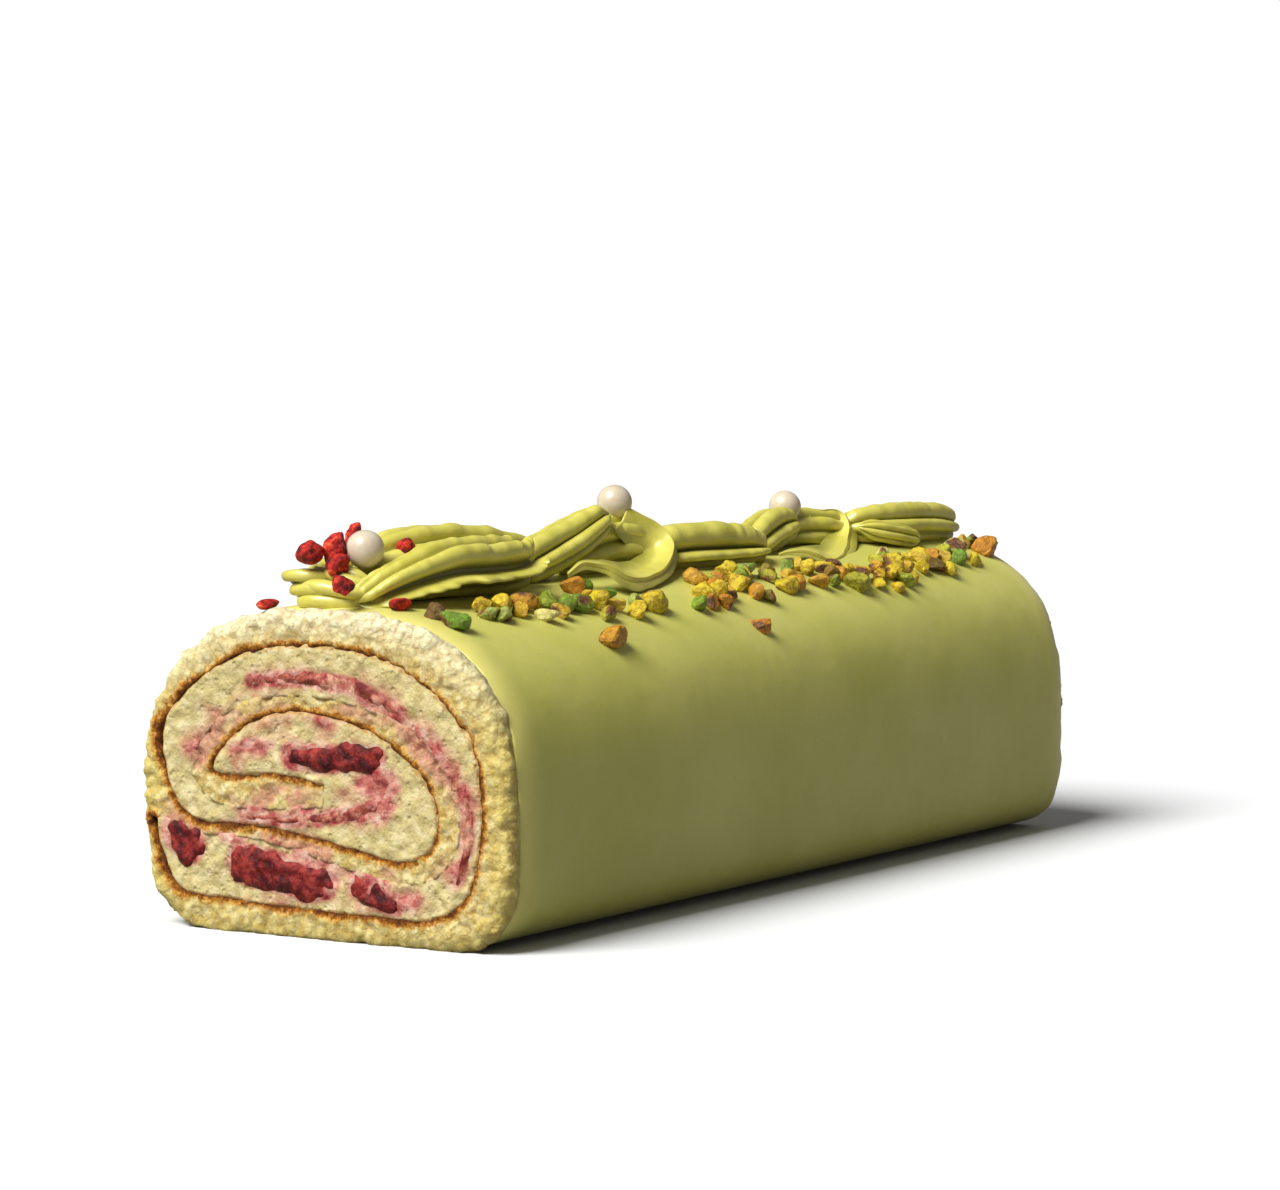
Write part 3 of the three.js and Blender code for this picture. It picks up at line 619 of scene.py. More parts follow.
def spongeFinish():
    finish, tree, shader = newFinish("spongeCrumb", 0.8, gloss=0.2, glow=0.3,
                                     glowRadius=(0.0025, 0.0018, 0.0007))
    clumps = poresOf(tree, 2.1)
    crumb = rampOf(tree, noiseOf(tree, 2.6, 5.0, 0.7), sheet["crumb"])
    # painted highlight: the rim turns paler from 46 to 72 mm up; below 14 mm it turns darker towards the foot
    rim = mixOf(tree, levelOf(tree, 46, 72), sheet["rim"], sheet["rimPaintedHighlight"])
    rim = mixOf(tree, levelOf(tree, 14, 0), rim, sheet["rimFoot"])
    crumb = mixOf(tree, spread(tree, shadeOf(tree, "rimGap"), 1.0, 6.5, 0.72, 0.0), crumb, rim)
    # painted shade: darker in the gaps between crumb clumps, which the bump below sinks
    crumb = mixOf(tree, spread(tree, clumps, 0.42, 0.75, 0.0, 0.45), crumb, sheet["clumpGapShade"])
    pits = spread(tree, noiseOf(tree, 1.1, 3.0), 0.34, 0.44, 0.4, 0.0)
    crumb = mixOf(tree, pits, crumb, sheet["pit"])
    crustGap = plusNoise(tree, shadeOf(tree, "crustGap"), 3.0, noiseOf(tree, 6.0, 2.0))
    crustGap = plusNoise(tree, crustGap, 4.2, noiseOf(tree, 1.2, 4.0, 0.75))
    browned = rampOf(tree, spread(tree, crustGap, 3.0, 6.0), sheet["browned"])
    juice = shadeOf(tree, "juice")
    colour = mixOf(tree, spread(tree, juice, 0.05, 0.4, 0.0, 0.8), crumb, sheet["pink"])
    speck = spread(tree, noiseOf(tree, 1.4, 4.0), 0.44, 0.60, 0.1, 0.9)
    stained = mathOf(tree, "MULTIPLY", spread(tree, juice, 0.30, 0.85), speck)
    colour = mixOf(tree, stained, colour, sheet["stain"])
    colour = mixOf(tree, spread(tree, crustGap, 4.7, 5.8, 1.0, 0.0), colour, browned)
    giveSurface(tree, shader, colour, [(noiseOf(tree, 1.4, 5.0, 0.7), 1.3), (clumps, -0.6)])
    return finish


def fillingRecess(flat, seed):
    deep = withDepth(flat, seed * 2.3)
    fluffy = 0.40 * softNoise(deep, 5.0, seed) + 0.42 * softNoise(deep, 2.0, seed + 1)
    edge = np.clip(1 - gapTo(flat, fillingLoop, closed=True), 0, 1) ** 2
    browned = np.exp(-(gapTo(flat, crustLine) / 1.4) ** 2)
    return 0.40 + fluffy + edge * (0.05 + 1.1 * browned)


def fillingShades(flat, seed):
    return {"crustGap": gapTo(flat, crustLine), "juice": juiceAt(flat, seed + 5)}


def fillingFinish():
    finish, tree, shader = newFinish("creamFilling", 0.5, gloss=0.35, glow=0.3,
                                     glowRadius=(0.0025, 0.002, 0.0012))
    plain = rampOf(tree, noiseOf(tree, 3.0, 4.0), filling["cream"])
    juicy = rampOf(tree, noiseOf(tree, 4.2, 5.0, 0.62), filling["juicy"])
    colour = mixOf(tree, spread(tree, shadeOf(tree, "juice"), 0.06, 0.7), plain, juicy)
    crustGap = plusNoise(tree, shadeOf(tree, "crustGap"), 1.4, noiseOf(tree, 1.0))
    colour = mixOf(tree, spread(tree, crustGap, 0.7, 1.2, 0.85, 0.0), colour, filling["edge"])
    holes = spread(tree, poresOf(tree, 2.2), 0.05, 0.30)
    giveSurface(tree, shader, colour, [(noiseOf(tree, 1.8, 5.0, 0.65), 0.9), (holes, 0.35)])
    return finish


def berryFinish(look):
    finish, tree, shader = newFinish(look["finish"], 0.38, gloss=0.22, glow=0.12,
                                     glowRadius=(0.0012, 0.0003, 0.0002))
    flesh = rampOf(tree, noiseOf(tree, 3.2, 5.0, 0.62), look["tones"])
    giveSurface(tree, shader, flesh, [(noiseOf(tree, 1.5, 5.0, 0.65), 0.7)])
    return finish


def capArc(centre, start, radius):
    # half a turn round the end of a lump
    first = math.atan2(start[1] - centre[1], start[0] - centre[0])
    turns = first - math.pi * np.arange(1, 8) / 8
    return np.column_stack([centre[0] + np.cos(turns) * radius, centre[1] + np.sin(turns) * radius])


def lumpLoop(spine, growth, seed, ragged):
    line = smoothLine(spine, 0.6)
    left = besideLine(line, 1, growth)
    right = besideLine(line, -1, -growth)[::-1]
    loop = np.vstack([left, capArc(line[-1], left[-1], line[-1, 2] + growth),
                      right, capArc(line[0], right[-1], line[0, 2] + growth)])
    loop = evenLoop(loop, 0.5)
    outward = loop - loop.mean(axis=0)
    outward /= np.linalg.norm(outward, axis=1)[:, None]
    return loop + outward * (ragged * roughNoise(withDepth(loop, seed * 1.7), 3.0, seed, 2))[:, None]


def berryRecess(outline, lift):
    # domed and lumpy, and a little sunk along its outline
    def recessOf(flat, seed):
        deep = withDepth(flat, seed * 1.3)
        fromEdge = np.clip(gapTo(flat, outline, closed=True) / 1.6, 0, 1)
        lumps = 0.8 * softNoise(deep, 2.4, seed) + 0.45 * softNoise(deep, 1.1, seed + 1)
        return 1.2 - np.sqrt(fromEdge) * (lift + 1.1) + 0.6 * lumps * fromEdge
    return recessOf


def berryShades(flat, seed):
    return {"juice": np.ones(len(flat))}


def spongeSection():
    # the sheet seen at a cut: corners, triangles, and where the outside and the spiral stand among them
    outer, inner, grain = spongeOutline, spiralLoop, sheet["grain"]
    grid = unevenGrid(outer, grain, sheet["gridSeed"])
    grid = grid[isInside(grid, outer) & ~isInside(grid, inner)]
    fromLoops = np.minimum(gapTo(grid, outer, closed=True), gapTo(grid, inner, closed=True))
    given = [Vector(p) for p in np.vstack([outer, inner, grid[fromLoops > grain * 0.5]])]
    loops = [np.arange(len(outer)), np.arange(len(inner)) + len(outer)]
    edges = [pair for loop in loops for pair in zip(loop.tolist(), np.roll(loop, -1).tolist())]
    found = delaunay_2d_cdt(given, edges, [], 0, 1e-5)
    corners, triangles = np.array([tuple(c) for c in found[0]]), np.array(found[2])
    middles = corners[triangles].mean(axis=1)
    triangles = triangles[isInside(middles, outer) & ~isInside(middles, inner)]
    places = placesOf(found[3], len(given))
    return corners, triangles, places[loops[0]], places[loops[1]]


def spongePiece(finish):
    flat, triangles, outerPlaces, innerPlaces = spongeSection()
    count = len(flat)
    gap = gapTo(flat, spongeOutline, closed=True)
    nearSeed, farSeed, farHidden = sheet["nearSeed"], sheet["farSeed"], sheet["farHidden"]
    nearDepth, farDepth = crumbRecess(flat, nearSeed), crumbRecess(flat, farSeed)
    near = np.column_stack([nearEnd + nearDepth, rimSwell(flat, nearDepth, gap, nearSeed)])
    far = np.column_stack([-nearEnd - farDepth, rimSwell(flat, farDepth + farHidden, gap, farSeed)])
    corners = [near, far]
    rings = [outerPlaces]
    total, ringSize = 2 * count, len(spongeOutline)
    for end, seed, hidden in ((1, nearSeed, 0.0), (-1, farSeed, farHidden)):
        for depth in sheet["rimRings"][::end]:
            depths = np.full(ringSize, depth + hidden)
            swollen = rimSwell(spongeOutline, depths, np.zeros(ringSize), seed)
            corners.append(np.column_stack([np.full(ringSize, (nearEnd + depth) * end), swollen]))
            rings.append(np.arange(total, total + ringSize))
            total += ringSize
    rings.append(outerPlaces + count)
    nearFaces = towardNearEnd(flat, triangles)
    faces = nearFaces.tolist() + (nearFaces[:, ::-1] + count).tolist()
    faces += joinRings(rings, loopArea(spongeOutline) > 0)
    faces += joinRings([innerPlaces, innerPlaces + count], loopArea(spiralLoop) < 0)
    onRings = total - 2 * count
    shades = {}
    for key, values in spongeShades(flat, nearSeed).items():
        beside = np.full(onRings, 9.0 if key == "crustGap" else 0.0)
        shades[key] = np.concatenate([values, values, beside])
    return makePiece("spongeSheet", np.vstack(corners), faces, finish, shades)


def buildLayers():
    settle(spongePiece(spongeFinish()), "sponge", "sponge")
    layer = twoEndedPiece("creamFilling", fillingLoop, filling["grain"], filling["seed"],
                          fillingFinish(), fillingRecess, fillingShades)
    settle(layer, "filling", "cream_filling")
    seed = berries["firstSeed"]
    for kind, look in berries["looks"].items():
        finish = berryFinish(look)
        for node, spine in berries[kind].items():
            outline = lumpLoop(spine, 0.2, seed, look["ragged"])
            piece = twoEndedPiece(node.replace("_", "."), outline, berries["grain"], seed, finish,
                                  berryRecess(outline, look["lift"]), berryShades)
            settle(piece, look["slot"], node)
            seed += 1


buildLayers()
print("sponge, cream filling and berries are built")


# Icing over the top and the long sides

icing = {
    "setBack": 5.2,        # how far its edge stays from the cut
    "farReach": 3.6,       # how much nearer it comes to the far cut
    "floorGap": 1.3,
    "grain": 1.4,
    "edgeSteps": [0.0, 0.35, 0.8, 1.4, 2.2, 3.2],      # closer rows of corners along each edge
    "edgeWidth": 4.4,
    "wave": 0.35,
    "ragged": 1.0,
    "lining": 0.1,         # how far its inside reaches into the sponge
    # how far its outside sinks towards the edge, by distance from it
    "feather": [[0.0, 0.95], [1.2, 0.6], [3.0, 0.25], [5.5, 0.0]],
    "tones": [(0.3, (0.51, 0.495, 0.080)), (0.7, (0.60, 0.565, 0.13))],
    "fleck": (0.36, 0.33, 0.07),
    "thinEdge": (0.74, 0.66, 0.19),
}


def coatFaces(rows, columns):
    # the outside with its lining behind it, then the sides and the two edges that close them
    total = rows * columns
    faces = []
    for i in range(rows - 1):
        for j in range(columns - 1):
            a = i * columns + j
            faces.append((a, a + columns, a + columns + 1, a + 1))
            faces.append((a + total + 1, a + columns + total + 1, a + columns + total, a + total))
    for i in range(rows - 1):
        for j, flip in ((0, False), (columns - 1, True)):
            a = i * columns + j
            quad = (a, a + total, a + columns + total, a + columns)
            faces.append(quad[::-1] if flip else quad)
    for j in range(columns - 1):
        for i, flip in ((0, True), (rows - 1, False)):
            a = i * columns + j
            quad = (a, a + total, a + total + 1, a + 1)
            faces.append(quad[::-1] if flip else quad)
    return faces


def buildIcing():
    angles = np.linspace(-math.pi / 2, 1.5 * math.pi, 721)
    face = np.array([outlinePoint(a, 0) for a in angles])
    face = evenLine(face[face[:, 1] > icing["floorGap"]], icing["grain"])
    run = np.gradient(face, axis=0)
    run /= np.linalg.norm(run, axis=1)[:, None]
    outward = np.stack([run[:, 1], -run[:, 0]], axis=1)
    edgeSteps, edgeWidth = np.array(icing["edgeSteps"]), icing["edgeWidth"]
    nearHalf = -nearEnd - icing["setBack"]
    farHalf = nearHalf + icing["farReach"]
    between = int((nearHalf + farHalf - 2 * edgeWidth) / icing["grain"])
    middle = np.linspace(-nearHalf + edgeWidth, farHalf - edgeWidth, between)
    along = np.concatenate([-nearHalf + edgeSteps, middle, farHalf - edgeSteps[::-1]])
    rows, columns = len(along), len(face)
    x = np.repeat(along, columns)
    flat = np.tile(face, (rows, 1))
    out = np.tile(outward, (rows, 1))
    points = np.column_stack([x, flat])
    fromEdge = np.where(x < 0, nearHalf + x, farHalf - x)
    ragged = icing["ragged"] * roughNoise(np.column_stack([np.sign(x) * 40, flat]), 7.0, 71)
    x = x - np.sign(x) * np.clip(1 - fromEdge / 6, 0, 1) * (0.4 + ragged)
    wave = icing["wave"] * roughNoise(points * np.array([0.45, 1, 1]), 22, 5, 2)
    wave += 0.05 * softNoise(points, 3.0, 9)
    shift = np.clip(wave, -0.5, 0.35) - np.interp(fromEdge, *zip(*icing["feather"]))
    nearFloor = np.clip((flat[:, 1] - 2) / 8, 0, 1)
    skin = np.column_stack([x, flat + out * (shift * nearFloor)[:, None]])
    lining = np.column_stack([x, flat - out * (roll["icingThickness"] + icing["lining"])])
    shades = {"edgeGap": np.concatenate([fromEdge, fromEdge])}
    piece = makePiece("icingCoat", np.vstack([skin, lining]), coatFaces(rows, columns), icingFinish(), shades)
    settle(piece, "icing", "icing")


def icingFinish():
    finish, tree, shader = newFinish("satinIcing", 0.38, gloss=0.45, glow=0.2,
                                     glowRadius=(0.0025, 0.002, 0.0008))
    shader.inputs["Sheen Weight"].default_value = 0.12
    shader.inputs["Sheen Roughness"].default_value = 0.4
    colour = rampOf(tree, noiseOf(tree, 30, 3.0), icing["tones"])
    flecks = spread(tree, noiseOf(tree, 1.1, 2.0), 0.60, 0.72, 0.0, 0.18)
    colour = mixOf(tree, flecks, colour, icing["fleck"])
    edgeGap = plusNoise(tree, shadeOf(tree, "edgeGap"), 5.0, noiseOf(tree, 5.0, 4.0))
    colour = mixOf(tree, spread(tree, edgeGap, 2.5, 12.0, 0.85, 0.0), colour, icing["thinEdge"])
    giveSurface(tree, shader, colour, [(noiseOf(tree, 9.0, 2.0), 0.12), (noiseOf(tree, 0.7, 2.0), 0.02)])
    return finish


buildIcing()
print("icing is built")


# Piped cream, in ropes from a star nozzle and in folded bands

cream = {
    "valley": 0.46,         # how far the creases between the ribs stay from the middle of a rope
    "ringStep": 0.7,
    "sides": 120,
    "raggedness": 0.07,
    "endRound": 3.5,        # over what length a rope's end rounds off
    "tip": 0.5,
    "firstSeed": 203,
    "tones": [(0.3, (0.52, 0.475, 0.055)), (0.7, (0.65, 0.59, 0.12))],
    # painted shade in the creases between the ribs and along a fold's inner foot
    "crease": (0.17, 0.16, 0.014),
    # a rope's ribs: angle from its top towards the long side in front, reach and half width
    "ribs": {
        "star": [[0, 1, 27], [51, 1, 27], [103, 1, 27], [154, 1, 27], [206, 1, 27], [257, 1, 27],
                 [309, 1, 27]],
        "petals": [[-20, 1.1, 34], [40, 0.9, 30], [95, 1.35, 26], [150, 1.0, 30], [210, 0.9, 34],
                   [275, 1, 34]],
        "leaf": [[2, 1, 26], [48, 1.08, 25], [98, 1.36, 7], [200, 0.75, 34], [245, 0.9, 26],
                 [282, 1, 22], [320, 1, 22]],
        "flap": [[90, 1, 30], [270, 0.9, 36]],
        "band": [[32, 1.02, 44], [96, 1.14, 13], [145, 0.75, 34], [205, 0.9, 34], [265, 1, 34],
                 [325, 0.96, 32]],
        "split": [[18, 1.04, 36], [78, 1, 24], [124, 0.82, 26], [180, 0.8, 34], [240, 0.95, 34],
                  [310, 1, 34]],
    },
    # each swirl's ropes, by x from the near cut, y, height over the icing, radius and turn of the ribs
    "ropes": {
        "piped_cream_1": [
            ("petals", [[26, 12, 4, 4.2, 0], [18.5, 12.5, 5, 4.8, 0], [13.5, 9.5, 5.2, 4.6, 0],
                        [11.8, 4, 4.6, 4.4, 0], [12.6, -1, 3.4, 4, 0], [16, -4.5, 2, 3, 0]]),
            ("flap", [[13, 16.5, 5.6, 2.6, -12], [9.8, 13.4, 6.4, 4, -12], [10.2, 9.6, 6.2, 4.4, -12],
                      [14, 6, 5.4, 3, -12]]),
            ("flap", [[12.5, 16, 2.8, 2.6, -14], [10.8, 11, 3, 4.8, -14], [11.2, 5, 3, 5.2, -10],
                      [14, -1, 2.6, 4.6, -6], [18, -5, 2, 3, 0]]),
            ("flap", [[12, 14, 0.6, 2.6, -4], [11, 8, 0.8, 5.4, -4], [12.4, 2, 0.8, 5.6, 0],
                      [16, -4, 0.9, 4.8, 0], [21, -7.5, 0.9, 3, 0]]),
            ("leaf", [[9, -3.2, 1, 3, 25], [13, -4.6, 2.4, 4.2, 18], [18, -6.6, 4, 5.4, 10],
                      [25, -8.4, 5.4, 6.7, 4], [34, -9.6, 6.3, 8, 0], [45, -10.8, 6.1, 8.2, 0],
                      [57, -12.1, 5.8, 7.6, -8], [63, -12.8, 6.2, 6.4, -26]]),
            ("star", [[20, 9, 5, 5, 20], [32, 2.5, 8, 7.8, 20], [50, -1.5, 8.2, 8, 20], [64, -5, 7, 7, 20],
                      [73, -7, 6, 5, 20]]),
        ],
        "piped_cream_2": [
            ("split", [[75, -2, 2.2, 5.2, 0], [84, -2, 4.2, 6.2, 0], [92, -2, 6.2, 6.4, 0],
                       [100, -2.6, 8.6, 6.2, 0], [107, -4, 11.6, 5, 0], [111, -5.2, 13.6, 3, 0]]),
            ("star", [[98, 1, 3, 5, 0], [110, -1, 6, 7, 0], [119, -3, 6.2, 7.2, 0], [129, -6, 3, 5.4, 0]]),
        ],
        "piped_cream_3": [
            ("band", [[125, -6, 2.6, 5.6, 0], [136, -8, 3.2, 7.4, 0], [148, -10, 3, 7.6, 0],
                      [159, -12.4, 2.4, 6.6, -6], [167, -15, 2, 3.8, -15]]),
        ],
        "piped_cream_4": [
            ("split", [[169, -8.5, 1, 4.6, 10], [178, -6.6, 3.2, 6, 10], [186, -6, 4.8, 6, 10],
                       [194, -7.5, 6, 4.2, 10]]),
            ("star", [[190, -2, 2.6, 4.6, 10], [200, -3, 3.4, 5.4, 10], [209, -6, 3, 5.8, 10],
                      [217, -10, 1.6, 4, 10]]),
        ],
        "piped_cream_5": [
            ("split", [[214, -9, 3, 4.6, 0], [220, -12.4, 3.4, 5.8, 0], [230, -14.6, 3.2, 6.4, 0],
                       [244, -15.4, 3, 6.2, 6], [253, -15.9, 2.4, 5.4, 12], [257, -16.1, 2.2, 4, 16]]),
            ("star", [[214, -14.5, 4.6, 2.4, 0], [221, -18.5, 3.6, 2.9, 0], [232, -21.2, 1.8, 2.9, 0]]),
        ],
    },
    # folded bands that curl over: rows of crest, inner foot and outer foot
    "folds": {
        "piped_cream_2": [[
            [[118.5, -6, 15.5], [108, -8.5, 10], [121, -4, 9]],
            [[121.5, -8.5, 13.5], [110.5, -8.5, 7.5], [126, -7.5, 8.5]],
            [[125, -11.5, 11], [114, -8, 5], [129.5, -10.5, 8.5]],
            [[125, -14.5, 8.5], [117, -8, 4], [128.5, -13.5, 6.5]],
            [[121, -17.5, 6.5], [117, -8.5, 4], [125, -16.5, 4]],
            [[115, -19.5, 4], [113.5, -9.5, 4], [119, -19.5, 2]],
            [[106.5, -21.5, 3], [110, -10.5, 4], [111.5, -22, 1]],
            [[98, -22.5, 3], [106, -12, 4.5], [104.5, -23.5, 0.5]],
            [[92.5, -22, 4], [101.5, -14, 5], [94.5, -24.5, 0]],
            [[89.5, -20.5, 5.5], [97, -15.5, 5.5], [88, -24, 1.5]],
            [[84.5, -19, 6.5], [89.5, -16, 6.5], [86.5, -20.5, 3.5]],
            [[81, -17, 6.2], [83, -15, 6.4], [82, -17.5, 4.4]],
            [[78, -15, 3.5], [78.5, -14.5, 4], [78.5, -15, 2.5]],
        ]],
        "piped_cream_4": [[
            [[204, -6, 8.5], [202, -8, 5], [203, -3, 6]],
            [[212, -9.5, 8.5], [210.5, -7, 3], [216, -6, 6]],
            [[212.5, -11.5, 7], [210.5, -7.5, 3], [220, -9, 7]],
            [[211, -13.5, 5], [208.5, -8.5, 3], [219, -11, 5]],
            [[206, -16, 2.5], [205.5, -9.5, 3], [216, -13.5, 3]],
            [[198, -19.5, 0.8], [202, -10.5, 2.5], [209, -17.5, 0.5]],
            [[190, -22, 0.4], [198, -12, 2], [199.5, -21.5, -1]],
            [[185, -22, 0.8], [194, -14, 2], [190, -23.5, -1.5]],
            [[182.5, -21, 2], [188.5, -16, 2.5], [184, -23, -1]],
            [[178.5, -19, 2.6], [183, -16.5, 2.6], [179.5, -20.5, 0.5]],
            [[174.5, -17.5, 2.2], [176.5, -16, 2.4], [174.5, -18, 1.2]],
            [[171.5, -16.5, 1.5], [172, -16, 1.6], [171.5, -16.5, 0.8]],
        ], [
            [[217.5, -12.5, 3], [222, -9, 3], [214, -13, 1]],
            [[219, -14, 2.6], [226, -10, 2.5], [216.5, -15.5, 1.5]],
            [[221.5, -16, 2.1], [228, -12, 1.4], [219.5, -17, 1.1]],
            [[225.5, -18.5, 0.6], [228, -16.5, 0.4], [225.5, -18.5, 0.2]],
        ]],
    },
}


def uprightFrames(path):
    # up and right of the path, square to it
    tangents = np.gradient(path, axis=0)
    tangents /= np.linalg.norm(tangents, axis=1)[:, None]
    up = np.array([0, 0, 1.0]) - tangents * tangents[:, 2:3]
    up /= np.linalg.norm(up, axis=1)[:, None]
    return tangents, up, np.cross(tangents, up)


def onIcing(points):
    # from x, y and height over the icing to the roll's own frame
    placed = np.array(points, float)
    placed[..., 2] += icingHeight(placed[..., 1])
    placed[..., 0] += nearEnd
    return placed


def sectionReach(ribs, angles):
    # the rope's outline: round ribs that meet in sharp creases
    valley = cream["valley"]
    reach = np.full(len(angles), valley)
    for angle, out, half in cream["ribs"][ribs]:
        away = np.abs((angles - angle + 180) % 360 - 180) / half
        reach = np.maximum(reach, valley + (out - valley) * np.sqrt(np.clip(1 - away ** 2, 0, 1)))
    return reach


def ropeMesh(ribs, stations, seed):
    given = np.array(stations, float)
    line = smoothLine(np.column_stack([onIcing(given[:, :3]), given[:, 3:]]), cream["ringStep"])
    path, radii, turns = line[:, :3], line[:, 3], line[:, 4]
    tangents, up, right = uprightFrames(path)
    sides, valley = cream["sides"], cream["valley"]
    angles = 360 * np.arange(sides) / sides
    section = sectionReach(ribs, angles)
    starts = np.array([rib[0] for rib in cream["ribs"][ribs]])
    nearest = np.argmin(np.abs((angles[:, None] - starts + 180) % 360 - 180), axis=1)
    along = np.arange(len(path)) * cream["ringStep"]
    fromEnd = np.minimum(along, along[::-1])
    rounding = np.clip((fromEnd + 0.4) / cream["endRound"], 0, 1) ** 0.45
    rings = []
    for i in range(len(path)):
        spots = np.column_stack([np.full(sides, along[i]), nearest * 31.0, np.full(sides, seed * 7.0)])
        knobs = softNoise(spots, 6.0, seed) + 0.6 * softNoise(spots, 2.4, seed + 1)
        knobs *= cream["raggedness"] * (section - valley) * 1.8
        reach = radii[i] * rounding[i] * section * (1 + knobs)
        turned = np.radians(angles + turns[i])
        upward = np.outer(np.cos(turned) * reach, up[i])
        rings.append(path[i] + upward + np.outer(np.sin(turned) * reach, right[i]))
    corners = np.vstack(rings)
    outward = corners - np.repeat(path, sides, axis=0)
    outward /= np.maximum(np.linalg.norm(outward, axis=1), 1e-6)[:, None]
    bumps = 0.16 * softNoise(corners, 4.0, seed) + 0.06 * softNoise(corners, 1.3, seed + 1)
    corners = corners + outward * bumps[:, None]
    # 1 on a rib and 0 in a crease, which sets the painted crease shade
    ridge = np.tile((section - valley) / (1 - valley), len(path))
    tips = [path[0] - tangents[0] * cream["tip"], path[-1] + tangents[-1] * cream["tip"]]
    return closedRings(corners, sides, tips, ridge)


def closedRings(corners, sides, tips, ridge):
    # a skin over rings of corners, closed by a tip at each end
    faces = joinRings(np.arange(len(corners)).reshape(-1, sides), True)
    first, last = len(corners), len(corners) + 1
    for j in range(sides):
        after = (j + 1) % sides
        faces.append([after, j, first])
        faces.append([first - sides + j, first - sides + after, last])
    return np.vstack([corners, tips]), faces, np.append(ridge, [1.0, 1.0])


def foldMesh(rows, seed):
    # a band whose crest curls over, with a crease along its inner foot
    rows = onIcing(rows)
    flat = smoothLine(rows.reshape(len(rows), 9), cream["ringStep"] * 1.6)
    crest, inner, outer = flat[:, :3], flat[:, 3:6], flat[:, 6:]
    face = (crest + inner) * 0.43 + outer * 0.14
    side = (crest + outer) * 0.45 + inner * 0.1
    section = [         # points round the band, with 0 in a crease, where painted shade goes, and 1 on a ridge
        (crest, 1.0), (crest * 0.8 + face * 0.2, 1.0),
        (face * 0.5 + crest * 0.375 + inner * 0.125, 1.0), (face, 0.9),
        (face * 0.5 + inner * 0.375 + crest * 0.125, 0.5), (inner, 0.0),
        ((inner + outer) / 2, 0.0), (outer, 0.1),
        (side * 0.5 + outer * 0.375 + crest * 0.125, 0.5), (side, 0.8),
        (side * 0.5 + crest * 0.375 + outer * 0.125, 1.0), (crest * 0.8 + side * 0.2, 1.0),
    ]
    loop = np.stack([withDepth(points, shade) for points, shade in section], axis=1)
    for _ in range(3):          # cuts the corners off, which rounds the section
        after = np.roll(loop, -1, axis=1)
        loop = np.stack([loop * 0.75 + after * 0.25, loop * 0.25 + after * 0.75], axis=2)
        loop = loop.reshape(len(flat), -1, 4)
    middle = loop[:, :, :3].mean(axis=1)
    corners = loop[:, :, :3].reshape(-1, 3)
    corners = corners + 0.16 * np.stack([softNoise(corners, 3.5, seed + k) for k in range(3)], axis=1)
    return closedRings(corners, loop.shape[1], [middle[0], middle[-1]], loop[:, :, 3].ravel())


def creamFinish():
    finish, tree, shader = newFinish("pipedCream", 0.40, gloss=0.85, glow=0.08,
                                     glowRadius=(0.0025, 0.002, 0.0006))
    colour = rampOf(tree, noiseOf(tree, 6.0, 3.0), cream["tones"])
    # painted shade: the cream turns dark towards its creases
    creased = spread(tree, shadeOf(tree, "ridge"), 0.0, 0.85, 0.85, 0.0)
    colour = mixOf(tree, creased, colour, cream["crease"])
    giveSurface(tree, shader, colour, [(noiseOf(tree, 1.2, 3.0), 0.08)])
    return finish


def buildCream():
    finish = creamFinish()
    seed = cream["firstSeed"]
    for node, ropes in cream["ropes"].items():
        meshes = []
        for ribs, stations in ropes:
            meshes.append(ropeMesh(ribs, stations, seed))
            seed += 3
        for rows in cream["folds"].get(node, []):
            meshes.append(foldMesh(rows, seed))
            seed += 3
        faces = []
        start = 0
        for meshCorners, meshFaces, _ in meshes:
            faces += [[c + start for c in face] for face in meshFaces]
            start += len(meshCorners)
        corners = np.vstack([mesh[0] for mesh in meshes])
        shades = {"ridge": np.concatenate([mesh[2] for mesh in meshes])}
        settle(makePiece(node.replace("_", "."), corners, faces, finish, shades), "piped_cream", node)


buildCream()
print("piped cream is built")


# Sugar pearls and dried berry pieces, from the places of their solids

pearls = {
    "count": 3,
    "uneven": 0.012,
    "tones": [(0.3, (0.57, 0.48, 0.345)), (0.7, (0.65, 0.565, 0.43))],
}
dried = {
    "count": 8,
    "seed": 12,
    "cuts": 7,              # flat sides cut into each piece
    "cutDepth": [0.5, 0.95],
    "tones": [
        (0.38, (0.06, 0.003, 0.004)), (0.48, (0.34, 0.007, 0.006)), (0.60, (0.72, 0.030, 0.012)),
        (0.74, (0.86, 0.26, 0.08))],
}


def ballMesh(detail):
    work = bmesh.new()
    bmesh.ops.create_icosphere(work, subdivisions=detail, radius=1.0)
    work.verts.index_update()
    corners = np.array([v.co[:] for v in work.verts])
    faces = np.array([[v.index for v in face.verts] for face in work.faces])
    work.free()
    return corners, faces


def middleAndHalf(node):
    low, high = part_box(node)
    return np.array((low + high) / 2) / metresPerMm, np.array((high - low) / 2) / metresPerMm


def randomDirections(draws, count):
    directions = draws.normal(size=(count, 3))
    return directions / np.linalg.norm(directions, axis=1)[:, None]


def pearlFinish():
    finish, tree, shader = newFinish("sugarPearl", 0.36, gloss=0.45, glow=0.4,
                                     glowRadius=(0.003, 0.0026, 0.002))
    shader.inputs["Coat Weight"].default_value = 0.35
    shader.inputs["Coat Roughness"].default_value = 0.32
    colour = rampOf(tree, noiseOf(tree, 3.0, 2.0), pearls["tones"])
    giveSurface(tree, shader, colour, [(noiseOf(tree, 1.5, 2.0), 0.04)])
    return finish


